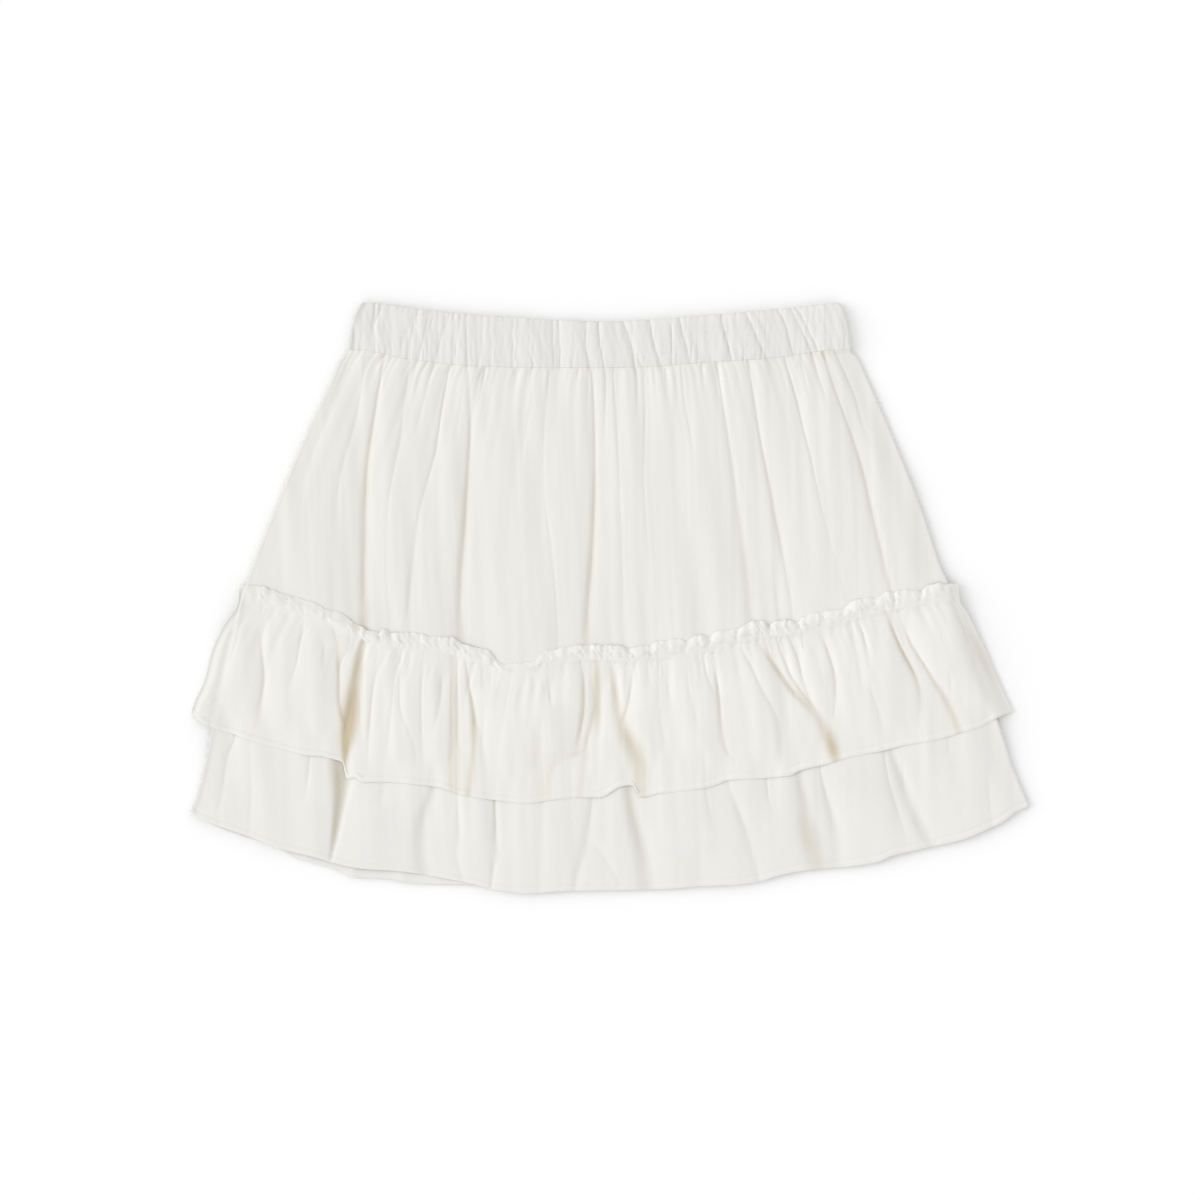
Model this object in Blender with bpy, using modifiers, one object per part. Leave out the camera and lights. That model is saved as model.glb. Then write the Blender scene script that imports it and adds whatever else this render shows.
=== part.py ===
"""A short tiered skirt lying flat, front side up, waist towards +Y, one object for each piece of cloth.

Each piece is a sheet with a wall: a grid between its lines from the top down and its two sides, whose
columns run along its folds. Its underside follows a height above the surface that the skirt lies on,
and Solidify adds the cloth over that. Sizes are in millimetres until a mesh is made.
"""

import random
from collections import namedtuple

import bmesh
import bpy
import numpy as np

MM = 0.001

# Walls, and the gap that two pieces keep at a seam.
CLOTH = 1.1
BAND_WALL = 1.6
SEAM_GAP = 0.4

# The height of each layer's underside: at rest, at its lowest fold, and at its side edges.
BAND_REST, BAND_LOW, BAND_EDGE = 3.9, 3.1, 1.95
FRONT_REST, FRONT_LOW, FRONT_EDGE = 4.7, 2.8, 1.45
BACK_ON_RUFFLE, BACK_ON_RUFFLE_EDGE = 3.1, 1.5
FRONT_ON_RUFFLE, FRONT_ON_RUFFLE_LOW, FRONT_ON_RUFFLE_EDGE = 6.0, 5.2, 3.1
TIER_REST = 5.3
RUFFLE_REST, RUFFLE_LOW, RUFFLE_OVER_EDGE = 11.6, 8.4, 4.7

# How far in from its side edges a layer reaches its full height.
EDGE_RUN = 12.0
# How far before the back's frilled heading each layer starts to climb onto it, and the climb's length.
BACK_CLIMB_START, BACK_CLIMB = 14.0, 12.0
FRONT_CLIMB_START, FRONT_CLIMB = 18.0, 14.0
# How far past the back ruffle's hem each layer starts to come down again, and the way down's length.
DROP_START, BACK_DROP, FRONT_DROP = 1.5, 12.0, 16.0
# The share of their depth that folds lose between the layers, and what is cut off the back's grooves.
FOLDS_PRESSED = 0.75
GROOVE_TRIM = 0.15
BAND_PUFF = 0.5
# The upper ruffle's stitches, as a share of the way from its heading's edge to its hem, the share that
# it takes to puff out below them, how far its heading stands up, and how deep its gathers are there.
STITCH_AT = 0.12
PUFF_SHARE = 0.12
HEADING_FRILL = 2.2
STITCHED_DEPTH = 0.2
# How far the ruffle's sides stand out past the body where they reach down to the back's ruffle.
OVERHANG_TO_BACK = 14.0
LEAST_OVERHANG = 3.0
# The body's rise from the waistband, as a share of its length.
WAIST_RISE = 0.08

# Linear colours.
IVORY, LIGHT_IVORY = (0.80, 0.79, 0.76), (0.84, 0.83, 0.80)
ROUGHNESS, SHEEN = 0.85, 0.2

# Lines from left to right, as (x, y).
WAIST_TOP = [(-165.7, 196.7), (-158, 196.5), (-140, 194), (-114, 190.7), (-74, 187.3), (-40, 185.3),
             (-9, 184), (26, 185.3), (60, 188), (93, 190.7), (126, 194), (151.7, 196.7)]
WAIST_SEAM = [(-174.3, 165.3), (-165.7, 165.2), (-153.7, 163.3), (-140.3, 160), (-120.3, 157.3),
              (-97, 154.7), (-73.7, 153.8), (-40, 153.3), (-7, 153.3), (26.3, 154), (59.7, 156.7),
              (93, 158.7), (119.7, 161.3), (146.3, 165), (160.3, 165.3)]
HEADING_TOP = [(-247, 5.3), (-240.3, 8), (-230.3, 7.3), (-213.7, 2.7), (-200.3, -0.7), (-190.3, -6.7),
               (-177, -10.7), (-172.3, -14.7), (-162.3, -18), (-152.3, -18), (-147, -22),
               (-133.7, -21.3), (-113.7, -24.7), (-100.3, -28), (-87, -31.3), (-80.3, -33.3),
               (-74.5, -41), (-67, -43.3), (-47, -41.3), (-42.3, -34.7), (-33.7, -32.7), (-13.7, -31.3),
               (6.3, -31.3), (19.7, -30), (33, -28), (49.7, -26.7), (66.3, -23.3), (83, -20),
               (96.3, -15.3), (123, -14.7), (149.7, -8), (159.7, -2.7), (179.7, 0.7), (189.7, 4),
               (206.3, 5.3), (216.3, 9.3), (223, 10), (231.7, 9.3)]
STITCH_LINE = [(-247.5, -2), (-230.3, -3.3), (-207, -9.3), (-187, -16), (-177, -21.3), (-153.7, -28),
               (-133.7, -32.7), (-113.7, -34.7), (-97, -39.3), (-80.3, -44), (-67, -49.3), (-47, -48),
               (-33.7, -41.3), (-13.7, -40), (9.7, -41.3), (33, -38), (59.7, -33.3), (83, -28),
               (103, -24.7), (126.3, -22.7), (149.7, -16), (173, -9.3), (196.3, -4.7), (216.3, -1.3),
               (232.3, 0.2)]
RUFFLE_HEM = [(-279.3, -76), (-273.7, -81.3), (-265, -86), (-252.3, -90), (-239, -94.7),
              (-220.3, -100), (-200.3, -104.7), (-187, -107.5), (-180, -116), (-172.3, -121.3),
              (-153.7, -121.3), (-133.7, -123.3), (-113.7, -126), (-97, -131.3), (-80.3, -134),
              (-53.7, -136.7), (-40.3, -134.7), (-20.3, -132.7), (-7, -132.7), (7.7, -125.3),
              (14.3, -124.5), (19.7, -132.7), (33, -130), (53, -128), (69.7, -124.7), (78.3, -121.3),
              (99.7, -120), (119.7, -118), (126.3, -114.7), (146.3, -110), (159.7, -106),
              (179.7, -102), (196.3, -98), (213, -95.3), (233, -90), (246.3, -86), (259.7, -78.7),
              (268.3, -76)]
TIER_SEAM = [(-256, -46), (-207, -54), (-150, -70), (-74, -84), (-10, -84), (60, -76), (126, -64),
             (196, -49), (244, -44)]
FRONT_HEM = [(-279.3, -141.3), (-277, -144.7), (-271.7, -147.6), (-243.7, -157.6), (-217, -167.6),
             (-193.7, -173.3), (-185.7, -176), (-167, -180), (-140.3, -182), (-110.3, -186.7),
             (-90.3, -190.7), (-73.7, -194.7), (-53.7, -196.7), (-33.7, -195.3), (-7, -194.7),
             (33, -194), (59.7, -192), (86.3, -190.7), (99.7, -188.7), (113, -184.7), (126.3, -182),
             (159.7, -178.7), (179.7, -175.3), (186.3, -172), (206.3, -167.3), (233, -161.3),
             (249.7, -154.7), (263, -148), (269.7, -142.7), (279.3, -138.7)]
BACK_HEM = [(-279.3, -141.3), (-277, -144.7), (-271.7, -148), (-257, -154.7), (-240.3, -160),
            (-220.3, -166.7), (-213.7, -171.3), (-200.3, -175.3), (-180.3, -181.3), (-170.3, -186),
            (-150.3, -186.7), (-130.3, -190), (-100.3, -190.7), (-80, -191), (-50, -192), (0, -191),
            (60, -188), (110, -182), (160, -175), (210, -163), (250, -151), (279.3, -138.7)]
BACK_HEADING = [(-247, 5.3), (-180, -10), (-100, -27), (-7, -33), (80, -22), (160, -4), (231.7, 9.3)]
BACK_STITCH = [(-247.5, -2), (-180, -19), (-100, -36), (-7, -42), (80, -31), (160, -13), (232.3, 0.2)]
BACK_RUFFLE_HEM = [(-279.3, -76), (-265, -86), (-220, -99), (-150, -118), (-60, -131), (20, -129),
                   (110, -118), (190, -100), (240, -87), (268.3, -76)]

# Sides from the top down, as (x, y).
BAND_LEFT = [(-165.7, 196.7), (-169.7, 188.7), (-172.3, 178.7), (-174.3, 165.3)]
BAND_RIGHT = [(151.7, 196.7), (155, 192), (158.3, 180), (160.3, 165.3)]
SKIRT_LEFT = [(-174.3, 165.3), (-180.3, 157.3), (-187, 142), (-207, 98.7), (-220.3, 66.7),
              (-233.7, 33.3), (-243, 8), (-248, -10), (-256, -46), (-265, -86), (-270.3, -111.3),
              (-276.3, -134.7), (-279.3, -141.3)]
SKIRT_RIGHT = [(160.3, 165.3), (166.3, 158.7), (171.7, 148.7), (183, 125.3), (196.3, 95.3),
               (209.7, 62), (223, 18.7), (227, 8.7), (232.5, -10), (244, -44), (258.3, -80),
               (261.7, -91.3), (269.7, -114.7), (279.3, -138.7)]
RUFFLE_LEFT = [(-247, 5.3), (-247.5, -2), (-257, -18), (-265, -34.7), (-270.3, -54.7), (-276.3, -68),
               (-279.3, -76)]
RUFFLE_RIGHT = [(231.7, 9.3), (232.3, 0.2), (238.3, -11.3), (249.7, -34.7), (259.7, -58), (268.3, -76)]

# Where down its length a piece's folds are given.
EVEN_STATIONS = (0, 0.5, 1)
BODY_STATIONS = (0, 0.35, 0.72)
RUFFLE_STATIONS = (STITCH_AT, 0.56, 1)

# A fold: its x at the three stations, its depth at each of them, and its half width. One with a depth
# below zero is a roll that stands proud.
Fold = namedtuple("Fold", "x_top x_middle x_low deep_top deep_middle deep_low width")

BAND_FOLDS = [
    Fold(-159, -160, -162, 1.0, 0.9, 1.0, 3.0),
    Fold(-150, -153, -156, 0.8, 0.6, 0.8, 3.0),
    Fold(-137, -140, -144, 0.9, 0.7, 0.9, 3.5),
    Fold(-126, -129, -132, 0.9, 0.8, 0.9, 3.0),
    Fold(-113.5, -116, -119, 0.9, 0.6, 0.9, 3.5),
    Fold(-105, -104.5, -104, 0.9, 0.9, 0.9, 3.0),
    Fold(-95, -95.5, -96, 1.2, 1.1, 1.2, 3.5),
    Fold(-80, -79.5, -79, 0.9, 0.8, 0.9, 3.5),
    Fold(-60, -61.5, -63, 0.8, 0.6, 0.8, 4.0),
    Fold(-50, -48.5, -47, 0.9, 0.8, 0.9, 3.0),
    Fold(-39.5, -39, -38.5, 0.8, 0.7, 0.8, 3.0),
    Fold(-30, -29, -28, 1.2, 1.1, 1.2, 3.5),
    Fold(-16, -15, -13.5, 1.2, 1.1, 1.2, 3.5),
    Fold(-7, -4, 1, 1.2, 1.2, 1.2, 3.5),
    Fold(7, 11, 15, 1.2, 1.1, 1.2, 3.5),
    Fold(24, 28, 32, 1.2, 1.1, 1.2, 3.5),
    Fold(38, 39, 41, 0.8, 0.6, 0.8, 3.0),
    Fold(47, 49.5, 52, 1.2, 1.1, 1.2, 3.5),
    Fold(72, 77, 82, 1.2, 1.1, 1.2, 3.5),
    Fold(88, 95, 102, 1.0, 0.9, 1.0, 3.5),
    Fold(98, 104, 110, 0.7, 0.6, 0.8, 3.5),
    Fold(109.5, 116, 122, 1.2, 1.1, 1.2, 3.5),
    Fold(119, 126, 133, 1.0, 0.9, 1.0, 3.0),
    Fold(128, 134.5, 141, 1.2, 1.1, 1.2, 3.0),
    Fold(141, 145, 150, 0.8, 0.7, 0.9, 3.0),
]
BODY_FOLDS = [
    Fold(-168, -195, -209.7, 1.0, 0.8, 0.5, 7),
    Fold(-160, -183, -190, 1.2, 1.2, 0.3, 5),
    Fold(-150.3, -165, -165.7, 1.8, 2.4, 2.4, 5),
    Fold(-131.7, -147.7, -151, 1.2, 1.4, 1.0, 4.5),
    Fold(-109.7, -123.7, -137.7, 1.5, 1.6, 1.3, 5),
    Fold(-100, -107.5, -114, 1.0, 0.3, 0, 4),
    Fold(-92, -97.7, -103, 1.2, 2.3, 2.3, 5),
    Fold(-83.7, -90, -95, 1.2, 0.2, 0, 4),
    Fold(-65, -71.7, -75, 1.2, 0.5, 0, 4.5),
    Fold(-53.7, -60.3, -58, 1.0, 0.6, 0, 4.5),
    Fold(-41.7, -46.3, -36.3, 0.8, 1.0, 1.0, 5),
    Fold(-14, -13.5, -17.5, 1.8, 2.0, 2.0, 4.5),
    Fold(-5, -5.5, -8, 1.2, 0.3, 0, 4),
    Fold(3, 6.3, 7.7, 1.3, 1.2, 1.4, 5),
    Fold(12.5, 14, 17, 1.2, 0.2, 0, 4),
    Fold(20.3, 22, 27, 1.2, 1.2, 0.4, 4.5),
    Fold(33, 36, 39.5, 1.2, 0.2, 0, 4.5),
    Fold(45, 55.7, 63, 1.2, 0.8, 0, 4.5),
    Fold(67, 80, 89, 1.6, 1.8, 1.8, 5.5),
    Fold(78, 90, 103, 0.3, 0.8, 1.0, 6),
    Fold(89, 104.3, 115.7, 1.6, 2.0, 1.6, 5),
    Fold(103, 117, 128, 1.3, 0.3, 0, 4.5),
    Fold(115, 136, 152, 1.6, 1.4, 0.6, 4.5),
    Fold(124.5, 146, 162, 1.2, 0.3, 0, 4),
    Fold(133, 157, 174, 1.4, 0.6, 0, 4),
    Fold(141, 168, 186, 1.8, 1.9, 1.8, 5),
    Fold(149.5, 180, 198, 1.6, 0.9, 0.2, 5),
]
RUFFLE_FOLDS = [
    Fold(-232, -255, -265, 1.8, 2.4, 1.6, 5),
    Fold(-222, -231, -240, 1.6, 2.4, 1.8, 5),
    Fold(-205, -211, -218, 1.4, 1.5, 0.8, 5),
    Fold(-195, -197, -201, 1.2, -0.8, -2.0, 5),
    Fold(-185, -187, -188, 1.4, -1.5, -3.2, 5),
    Fold(-166.5, -173, -177, 2.6, 4.4, 4.6, 6),
    Fold(-155, -161, -165, 1.4, -1.2, -1.6, 4.5),
    Fold(-145, -149, -152, 1.2, 1.0, 0.5, 4.5),
    Fold(-136, -138, -141, 1.3, 0.4, 0, 4),
    Fold(-126.5, -127.5, -128, 1.5, 1.5, 1.0, 4.5),
    Fold(-116, -117, -118, 1.4, 1.2, 0.8, 4),
    Fold(-107, -105, -103.5, 1.6, 2.4, 2.4, 5.5),
    Fold(-96, -93, -93.5, 1.8, 2.2, 2.0, 4.5),
    Fold(-86.5, -84, -85, 1.5, 1.4, 0.9, 4.5),
    Fold(-70, -73, -77, 1.3, 1.0, 0.8, 5),
    Fold(-57, -59, -61, 1.2, 0.4, 0.2, 4.5),
    Fold(-44, -44.5, -47, 1.6, 1.6, 1.4, 4.5),
    Fold(-31, -33, -37, 1.2, -0.6, 0, 5),
    Fold(-19.5, -21, -27, 1.8, 2.6, 1.6, 5),
    Fold(-8.5, -8, -7, 1.6, 2.0, 1.8, 4.5),
    Fold(1.5, 8.5, 21, 2.4, 4.2, 4.6, 6),
    Fold(14, 21, 33, 1.6, -0.8, -1.6, 5),
    Fold(30.5, 33.5, 44, 1.4, 1.2, 0.4, 4.5),
    Fold(42, 47, 54, 1.3, 0.6, 0.1, 4.5),
    Fold(52, 58, 65, 1.2, 0.2, 0, 4.5),
    Fold(61.5, 70.5, 77, 1.8, 2.4, 2.1, 5),
    Fold(74, 85, 93, 1.2, -0.5, 0, 4.5),
    Fold(87, 101, 109, 1.6, 1.9, 0.9, 5),
    Fold(102, 128, 149, 2.2, 4.2, 4.4, 6.5),
    Fold(116, 139, 160, 1.6, -1.0, -2.0, 5),
    Fold(128, 148, 168, 1.3, 0.6, 0, 4.5),
    Fold(141, 157, 175, 1.6, 1.6, 0.5, 4.5),
    Fold(160, 169, 184, 1.3, 0.8, 0, 5),
    Fold(172, 183, 195, 1.2, -0.5, 0, 5),
    Fold(184, 200, 207, 1.8, 2.4, 2.0, 5),
    Fold(197, 216, 231, 1.8, 3.4, 3.8, 6),
    Fold(210, 230, 243, 1.3, -0.6, -1.0, 5),
    Fold(222, 243, 257, 1.2, 1.2, 0.8, 5),
]
TIER_FOLDS = [
    Fold(-243, -253, -266, 0.3, 1.2, 0.8, 5),
    Fold(-225, -237, -244, 0.3, 1.0, 0.8, 6),
    Fold(-196, -202, -207, 0.4, 1.3, 0.2, 5),
    Fold(-171, -179, -185.7, 0.8, 2.8, 1.6, 7),
    Fold(-148, -156, -161, 0.3, 0.8, 0, 5),
    Fold(-115, -119.5, -124, 0.6, 2.2, 1.8, 7),
    Fold(-100, -103, -102.5, 0.4, 1.5, 1.3, 5),
    Fold(-76, -77.3, -81, 0.6, 2.6, 2.3, 5.5),
    Fold(-46, -47.5, -51, 0.3, 1.1, 0.8, 6),
    Fold(-13, -14.5, -20.3, 0.4, 1.9, 1.5, 5.5),
    Fold(10, 14, 22, 0.6, 2.6, 2.4, 7),
    Fold(34, 37, 43, 0.2, -0.5, -0.5, 8),
    Fold(60, 64, 69, 0.3, 1.1, 0.2, 5),
    Fold(80, 86, 102, 0.3, 1.3, 1.3, 6),
    Fold(113, 121, 134, 0.5, 2.5, 2.3, 6),
    Fold(129, 138, 148, 0.4, 1.6, 1.2, 5),
    Fold(165, 176, 192, 0.2, 0.8, 0.6, 5),
    Fold(180, 192, 212, 0.5, 2.5, 2.4, 6.5),
    Fold(208, 222, 236, 0.2, -0.5, -0.4, 7),
    Fold(230, 246, 258, 0.2, 0.8, 0.3, 6),
]


def curve(points):
    """A smooth function through (x, y) points that never overshoots them."""
    xs, ys = np.array(sorted(points), float).T
    steps = np.diff(xs)
    slopes = np.diff(ys) / steps
    product = slopes[:-1] * slopes[1:]
    total = slopes[:-1] + slopes[1:]
    inner = np.where(product > 0, 2 * product / np.where(total == 0, 1, total), 0)
    tangents = np.concatenate([slopes[:1], inner, slopes[-1:]])

    def at(x):
        x = np.clip(x, xs[0], xs[-1])
        i = np.clip(np.searchsorted(xs, x) - 1, 0, len(steps) - 1)
        t = (x - xs[i]) / steps[i]
        bend = tangents[i] * t * (1 - t) ** 2 - tangents[i + 1] * t**2 * (1 - t)
        return ys[i] * (1 - t) ** 2 * (1 + 2 * t) + ys[i + 1] * t**2 * (3 - 2 * t) + bend * steps[i]

    return at


def side(points):
    """The x of a side at a height y."""
    return curve([(y, x) for x, y in points])


def moved(points, dy):
    """A line moved along Y."""
    return [(x, y + dy) for x, y in points]


def ramp(distance, run):
    """0 up to the start of a run and 1 past its end, with soft ends."""
    t = np.clip(distance / run, 0, 1)
    return t * t * (3 - 2 * t)


def kept_over(height, lowest, softness=0.5):
    """The height, bent so that it stays over the lowest one."""
    over = height - lowest
    return lowest + (over + np.sqrt(over**2 + softness**2)) / 2


class Panel:
    """The plan of one piece: its lines from the top down, its sides, and its folds at three stations."""

    def __init__(self, lines, left, right, stations, folds):
        self.levels = [v for v, _ in lines]
        self.lines = [curve(points) for _, points in lines]
        self.left = side(left)
        self.right = side(right)
        self.left_ends = [points[0][1] for _, points in lines]
        self.right_ends = [points[-1][1] for _, points in lines]
        self.stations = stations
        self.folds = np.array(folds, float)

    def sides(self, v):
        """The x of both sides at the share v of the way down."""
        left_y = np.interp(v, self.levels, self.left_ends)
        right_y = np.interp(v, self.levels, self.right_ends)
        return self.left(left_y), self.right(right_y)

    def plan(self, u, v):
        """The point at the share u of the way across and v of the way down."""
        left, right = self.sides(v)
        y = np.zeros_like(u * v)
        for i, (level, line) in enumerate(zip(self.levels, self.lines)):
            start, end = self.sides(level)
            weight = np.interp(v, self.levels, np.eye(len(self.levels))[i])
            y += weight * line(start + u * (end - start))
        return left + u * (right - left), y

    def fold_shares(self, v):
        """Each fold's share of the way across the piece at v, on a smooth path through its stations."""
        shares = []
        for i, station in enumerate(self.stations):
            left, right = self.sides(station)
            shares.append((self.folds[:, i] - left) / (right - left))
        a, b, c = self.stations
        v = np.clip(v, a, c)
        slope = (shares[1] - shares[0]) / (b - a)
        bend = ((shares[2] - shares[1]) / (c - b) - slope) / (c - a)
        return shares[0] + (v - a) * slope + (v - a) * (v - b) * bend

    def relief(self, x, v):
        """How far the folds lower the cloth."""
        left, right = self.sides(v)
        centres = left + self.fold_shares(v) * (right - left)
        depths = [np.interp(v[:, 0], self.stations, fold[3:6]) for fold in self.folds]
        t = (x[:, :, None] - centres[:, None, :]) / self.folds[:, 6]
        return (np.array(depths).T[:, None, :] * np.exp(-np.abs(t) ** 1.6)).sum(axis=2)

    def grid(self, rows, spacing):
        """Plan points and v at the rows, with columns along the folds and closer together near them."""
        v = np.array(rows, float)[:, None]
        lines = np.hstack([np.zeros_like(v), self.fold_shares(v), np.ones_like(v)])
        left, right = self.sides(v)
        widths = (np.diff(lines, axis=1) * (right - left)).mean(axis=0)
        columns = []
        for i, width in enumerate(widths):
            count = int(np.clip(round(width / spacing), 2, 6))
            for step in range(count):
                t = step / count
                t -= 0.07 * np.sin(2 * np.pi * t)
                columns.append(lines[:, i] * (1 - t) + lines[:, i + 1] * t)
        columns.append(lines[:, -1])
        x, y = self.plan(np.array(columns).T, v)
        return x, y, v


def scattered_folds(seed, count, top, low, depths, width):
    """Folds spread unevenly between two ends at the top line and two at the bottom line."""
    dice = random.Random(seed)
    rows = []
    for i in range(count):
        share = (i + 0.5 + dice.uniform(-0.22, 0.22)) / count
        start = top[0] + share * (top[1] - top[0])
        end = low[0] + share * (low[1] - low[0])
        strength = dice.uniform(0.6, 1.0)
        rows.append(Fold(start, (start + end) / 2, end, *(strength * d for d in depths), width))
    return rows


band_left, band_right = side(BAND_LEFT), side(BAND_RIGHT)
skirt_left, skirt_right = side(SKIRT_LEFT), side(SKIRT_RIGHT)
ruffle_left, ruffle_right = side(RUFFLE_LEFT), side(RUFFLE_RIGHT)
back_heading, back_ruffle_hem = curve(BACK_HEADING), curve(BACK_RUFFLE_HEM)


def from_sides(x, y, left, right):
    """The distance in from the nearer side, less than 0 outside it."""
    return np.minimum(x - left(y), right(y) - x)


def on_back_ruffle(x, y, start, climb, drop):
    """1 where the cloth lies over the back's upper ruffle, and 0 where it lies lower."""
    risen = ramp(back_heading(x) + start - y, climb)
    return risen * (1 - ramp(back_ruffle_hem(x) - DROP_START - y, drop))


def grooves(panel, x, v):
    """The folds of cloth that lies on the surface: they rise from it, and the rest is flat."""
    return np.maximum(panel.relief(x, v) - GROOVE_TRIM, 0)


def back_band_height(panel, x, y, v):
    """The back of the waistband, flat on the surface with raised puckers."""
    return grooves(panel, x, v) * ramp(from_sides(x, y, band_left, band_right), EDGE_RUN)


def band_height(panel, x, y, v):
    """The front of the waistband, puffed along its middle and puckered by its elastic."""
    inner = ramp(from_sides(x, y, band_left, band_right), EDGE_RUN)
    level = BAND_REST + BAND_PUFF * np.sin(np.pi * v)
    full = kept_over(level - panel.relief(x, v), BAND_LOW)
    return BAND_EDGE + (full - BAND_EDGE) * inner


def back_height(panel, x, y, v):
    """The back's body and lower tier: on the surface, or on the back's upper ruffle."""
    over = on_back_ruffle(x, y, BACK_CLIMB_START, BACK_CLIMB, BACK_DROP)
    inner = ramp(from_sides(x, y, skirt_left, skirt_right), EDGE_RUN)
    edge = BACK_ON_RUFFLE_EDGE * over
    full = BACK_ON_RUFFLE * over + grooves(panel, x, v) * (1 - over)
    return edge + (full - edge) * inner


def front_height(panel, x, y, v, rest):
    """The front's body and lower tier, over the back and over both back layers."""
    over = on_back_ruffle(x, y, FRONT_CLIMB_START, FRONT_CLIMB, FRONT_DROP)
    inner = ramp(from_sides(x, y, skirt_left, skirt_right), EDGE_RUN)
    level = rest + (FRONT_ON_RUFFLE - rest) * over
    lowest = FRONT_LOW + (FRONT_ON_RUFFLE_LOW - FRONT_LOW) * over
    edge = FRONT_EDGE + (FRONT_ON_RUFFLE_EDGE - FRONT_EDGE) * over
    full = kept_over(level - panel.relief(x, v) * (1 - FOLDS_PRESSED * over), lowest)
    return edge + (full - edge) * inner


def body_height(panel, x, y, v):
    """The front's body, which starts as low as the waistband that it is sewn to."""
    rest = BAND_REST + (FRONT_REST - BAND_REST) * ramp(v, WAIST_RISE)
    return front_height(panel, x, y, v, rest)


def tier_height(panel, x, y, v):
    """The front's lower tier."""
    return front_height(panel, x, y, v, TIER_REST)


def back_ruffle_height(panel, x, y, v):
    """The back's upper ruffle, flat on the surface with raised grooves."""
    return grooves(panel, x, v) * ramp(from_sides(x, y, skirt_left, skirt_right), EDGE_RUN)


def ruffle_height(panel, x, y, v):
    """The front's upper ruffle: held down at its stitches, puffed below them, frilled above them."""
    puff = ramp(v - STITCH_AT, PUFF_SHARE)
    frill = ramp(STITCH_AT - v, STITCH_AT)
    level = RUFFLE_LOW + (RUFFLE_REST - RUFFLE_LOW) * puff + HEADING_FRILL * frill
    gathered = STITCHED_DEPTH + (1 - STITCHED_DEPTH) * np.maximum(puff, frill)
    full = kept_over(level - panel.relief(x, v) * gathered, RUFFLE_LOW)

    own = from_sides(x, y, ruffle_left, ruffle_right)
    inner = from_sides(x, y, skirt_left, skirt_right)
    overhang = own - inner
    low_edge = RUFFLE_OVER_EDGE + (FRONT_EDGE - RUFFLE_OVER_EDGE) * ramp(overhang, OVERHANG_TO_BACK)
    climbed = ramp(own, np.maximum(overhang, LEAST_OVERHANG))
    edge = low_edge + (RUFFLE_OVER_EDGE - low_edge) * climbed
    return edge + (full - edge) * ramp(inner, EDGE_RUN)


def cloth_material(name, colour):
    """Plain woven cloth: rough, with a faint sheen."""
    material = bpy.data.materials.new(name)
    material.use_nodes = True
    shader = material.node_tree.nodes["Principled BSDF"]
    shader.inputs["Base Color"].default_value = (*colour, 1)
    shader.inputs["Roughness"].default_value = ROUGHNESS
    shader.inputs["Sheen Weight"].default_value = SHEEN
    material.diffuse_color = (*colour, 1)
    return material


def sew(name, panel, height, rows, spacing, wall, colour):
    """One piece of cloth: a grid laid on the panel's plan at its height, and given its wall."""
    x, y, v = panel.grid(rows, spacing)
    z = height(panel, x, y, v)
    across, down = x.shape[1] - 1, x.shape[0] - 1
    mesh = bpy.data.meshes.new(name)
    bm = bmesh.new()
    bmesh.ops.create_grid(bm, x_segments=across, y_segments=down, size=0.5)
    for vert in bm.verts:
        column = round((vert.co.x + 0.5) * across)
        row = round((0.5 - vert.co.y) * down)
        vert.co = (x[row, column] * MM, y[row, column] * MM, z[row, column] * MM)
    bm.to_mesh(mesh)
    bm.free()
    mesh.shade_smooth()
    mesh.materials.append(cloth_material(name, colour))
    piece = bpy.data.objects.new(name, mesh)
    skirt.objects.link(piece)
    solidify = piece.modifiers.new("Wall", "SOLIDIFY")
    solidify.thickness = wall * MM
    solidify.offset = 1
    solidify.use_even_offset = True


for old in list(bpy.data.objects):
    bpy.data.objects.remove(old)
skirt = bpy.data.collections.new("tiered_ruffle_skirt")
bpy.context.scene.collection.children.link(skirt)

# The waistband: a casing round its elastic, front and back.
band_lines = [(0, WAIST_TOP), (1, moved(WAIST_SEAM, SEAM_GAP / 2))]
back_band_folds = scattered_folds(3, 20, (-160, 146), (-168, 154), (0.9, 0.8, 0.9), 3.5)
band_back = Panel(band_lines, BAND_LEFT, BAND_RIGHT, EVEN_STATIONS, back_band_folds)
band_front = Panel(band_lines, BAND_LEFT, BAND_RIGHT, EVEN_STATIONS, BAND_FOLDS)
sew("waistband_back", band_back, back_band_height, (0, 0.35, 0.7, 1), 7, BAND_WALL, IVORY)
sew("waistband_front", band_front, band_height, (0, 0.3, 0.7, 1), 4.2, BAND_WALL, IVORY)

# The body, gathered into the waistband, with its rows close together where it climbs.
body_lines = [(0, moved(WAIST_SEAM, -SEAM_GAP / 2)), (1, moved(TIER_SEAM, SEAM_GAP / 2))]
back_body_folds = scattered_folds(5, 18, (-166, 152), (-240, 228), (1.1, 1.0, 0.8), 4.5)
body_back = Panel(body_lines, SKIRT_LEFT, SKIRT_RIGHT, BODY_STATIONS, back_body_folds)
body_front = Panel(body_lines, SKIRT_LEFT, SKIRT_RIGHT, BODY_STATIONS, BODY_FOLDS)
back_body_rows = (0, 0.2, 0.45, 0.64, 0.7, 0.76, 0.82, 1)
body_rows = (0, 0.07, 0.2, 0.35, 0.5, 0.62, 0.69, 0.76, 0.84, 1)
sew("skirt_back", body_back, back_height, back_body_rows, 8, CLOTH, IVORY)
sew("skirt_front", body_front, body_height, body_rows, 5.6, CLOTH, IVORY)

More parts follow.
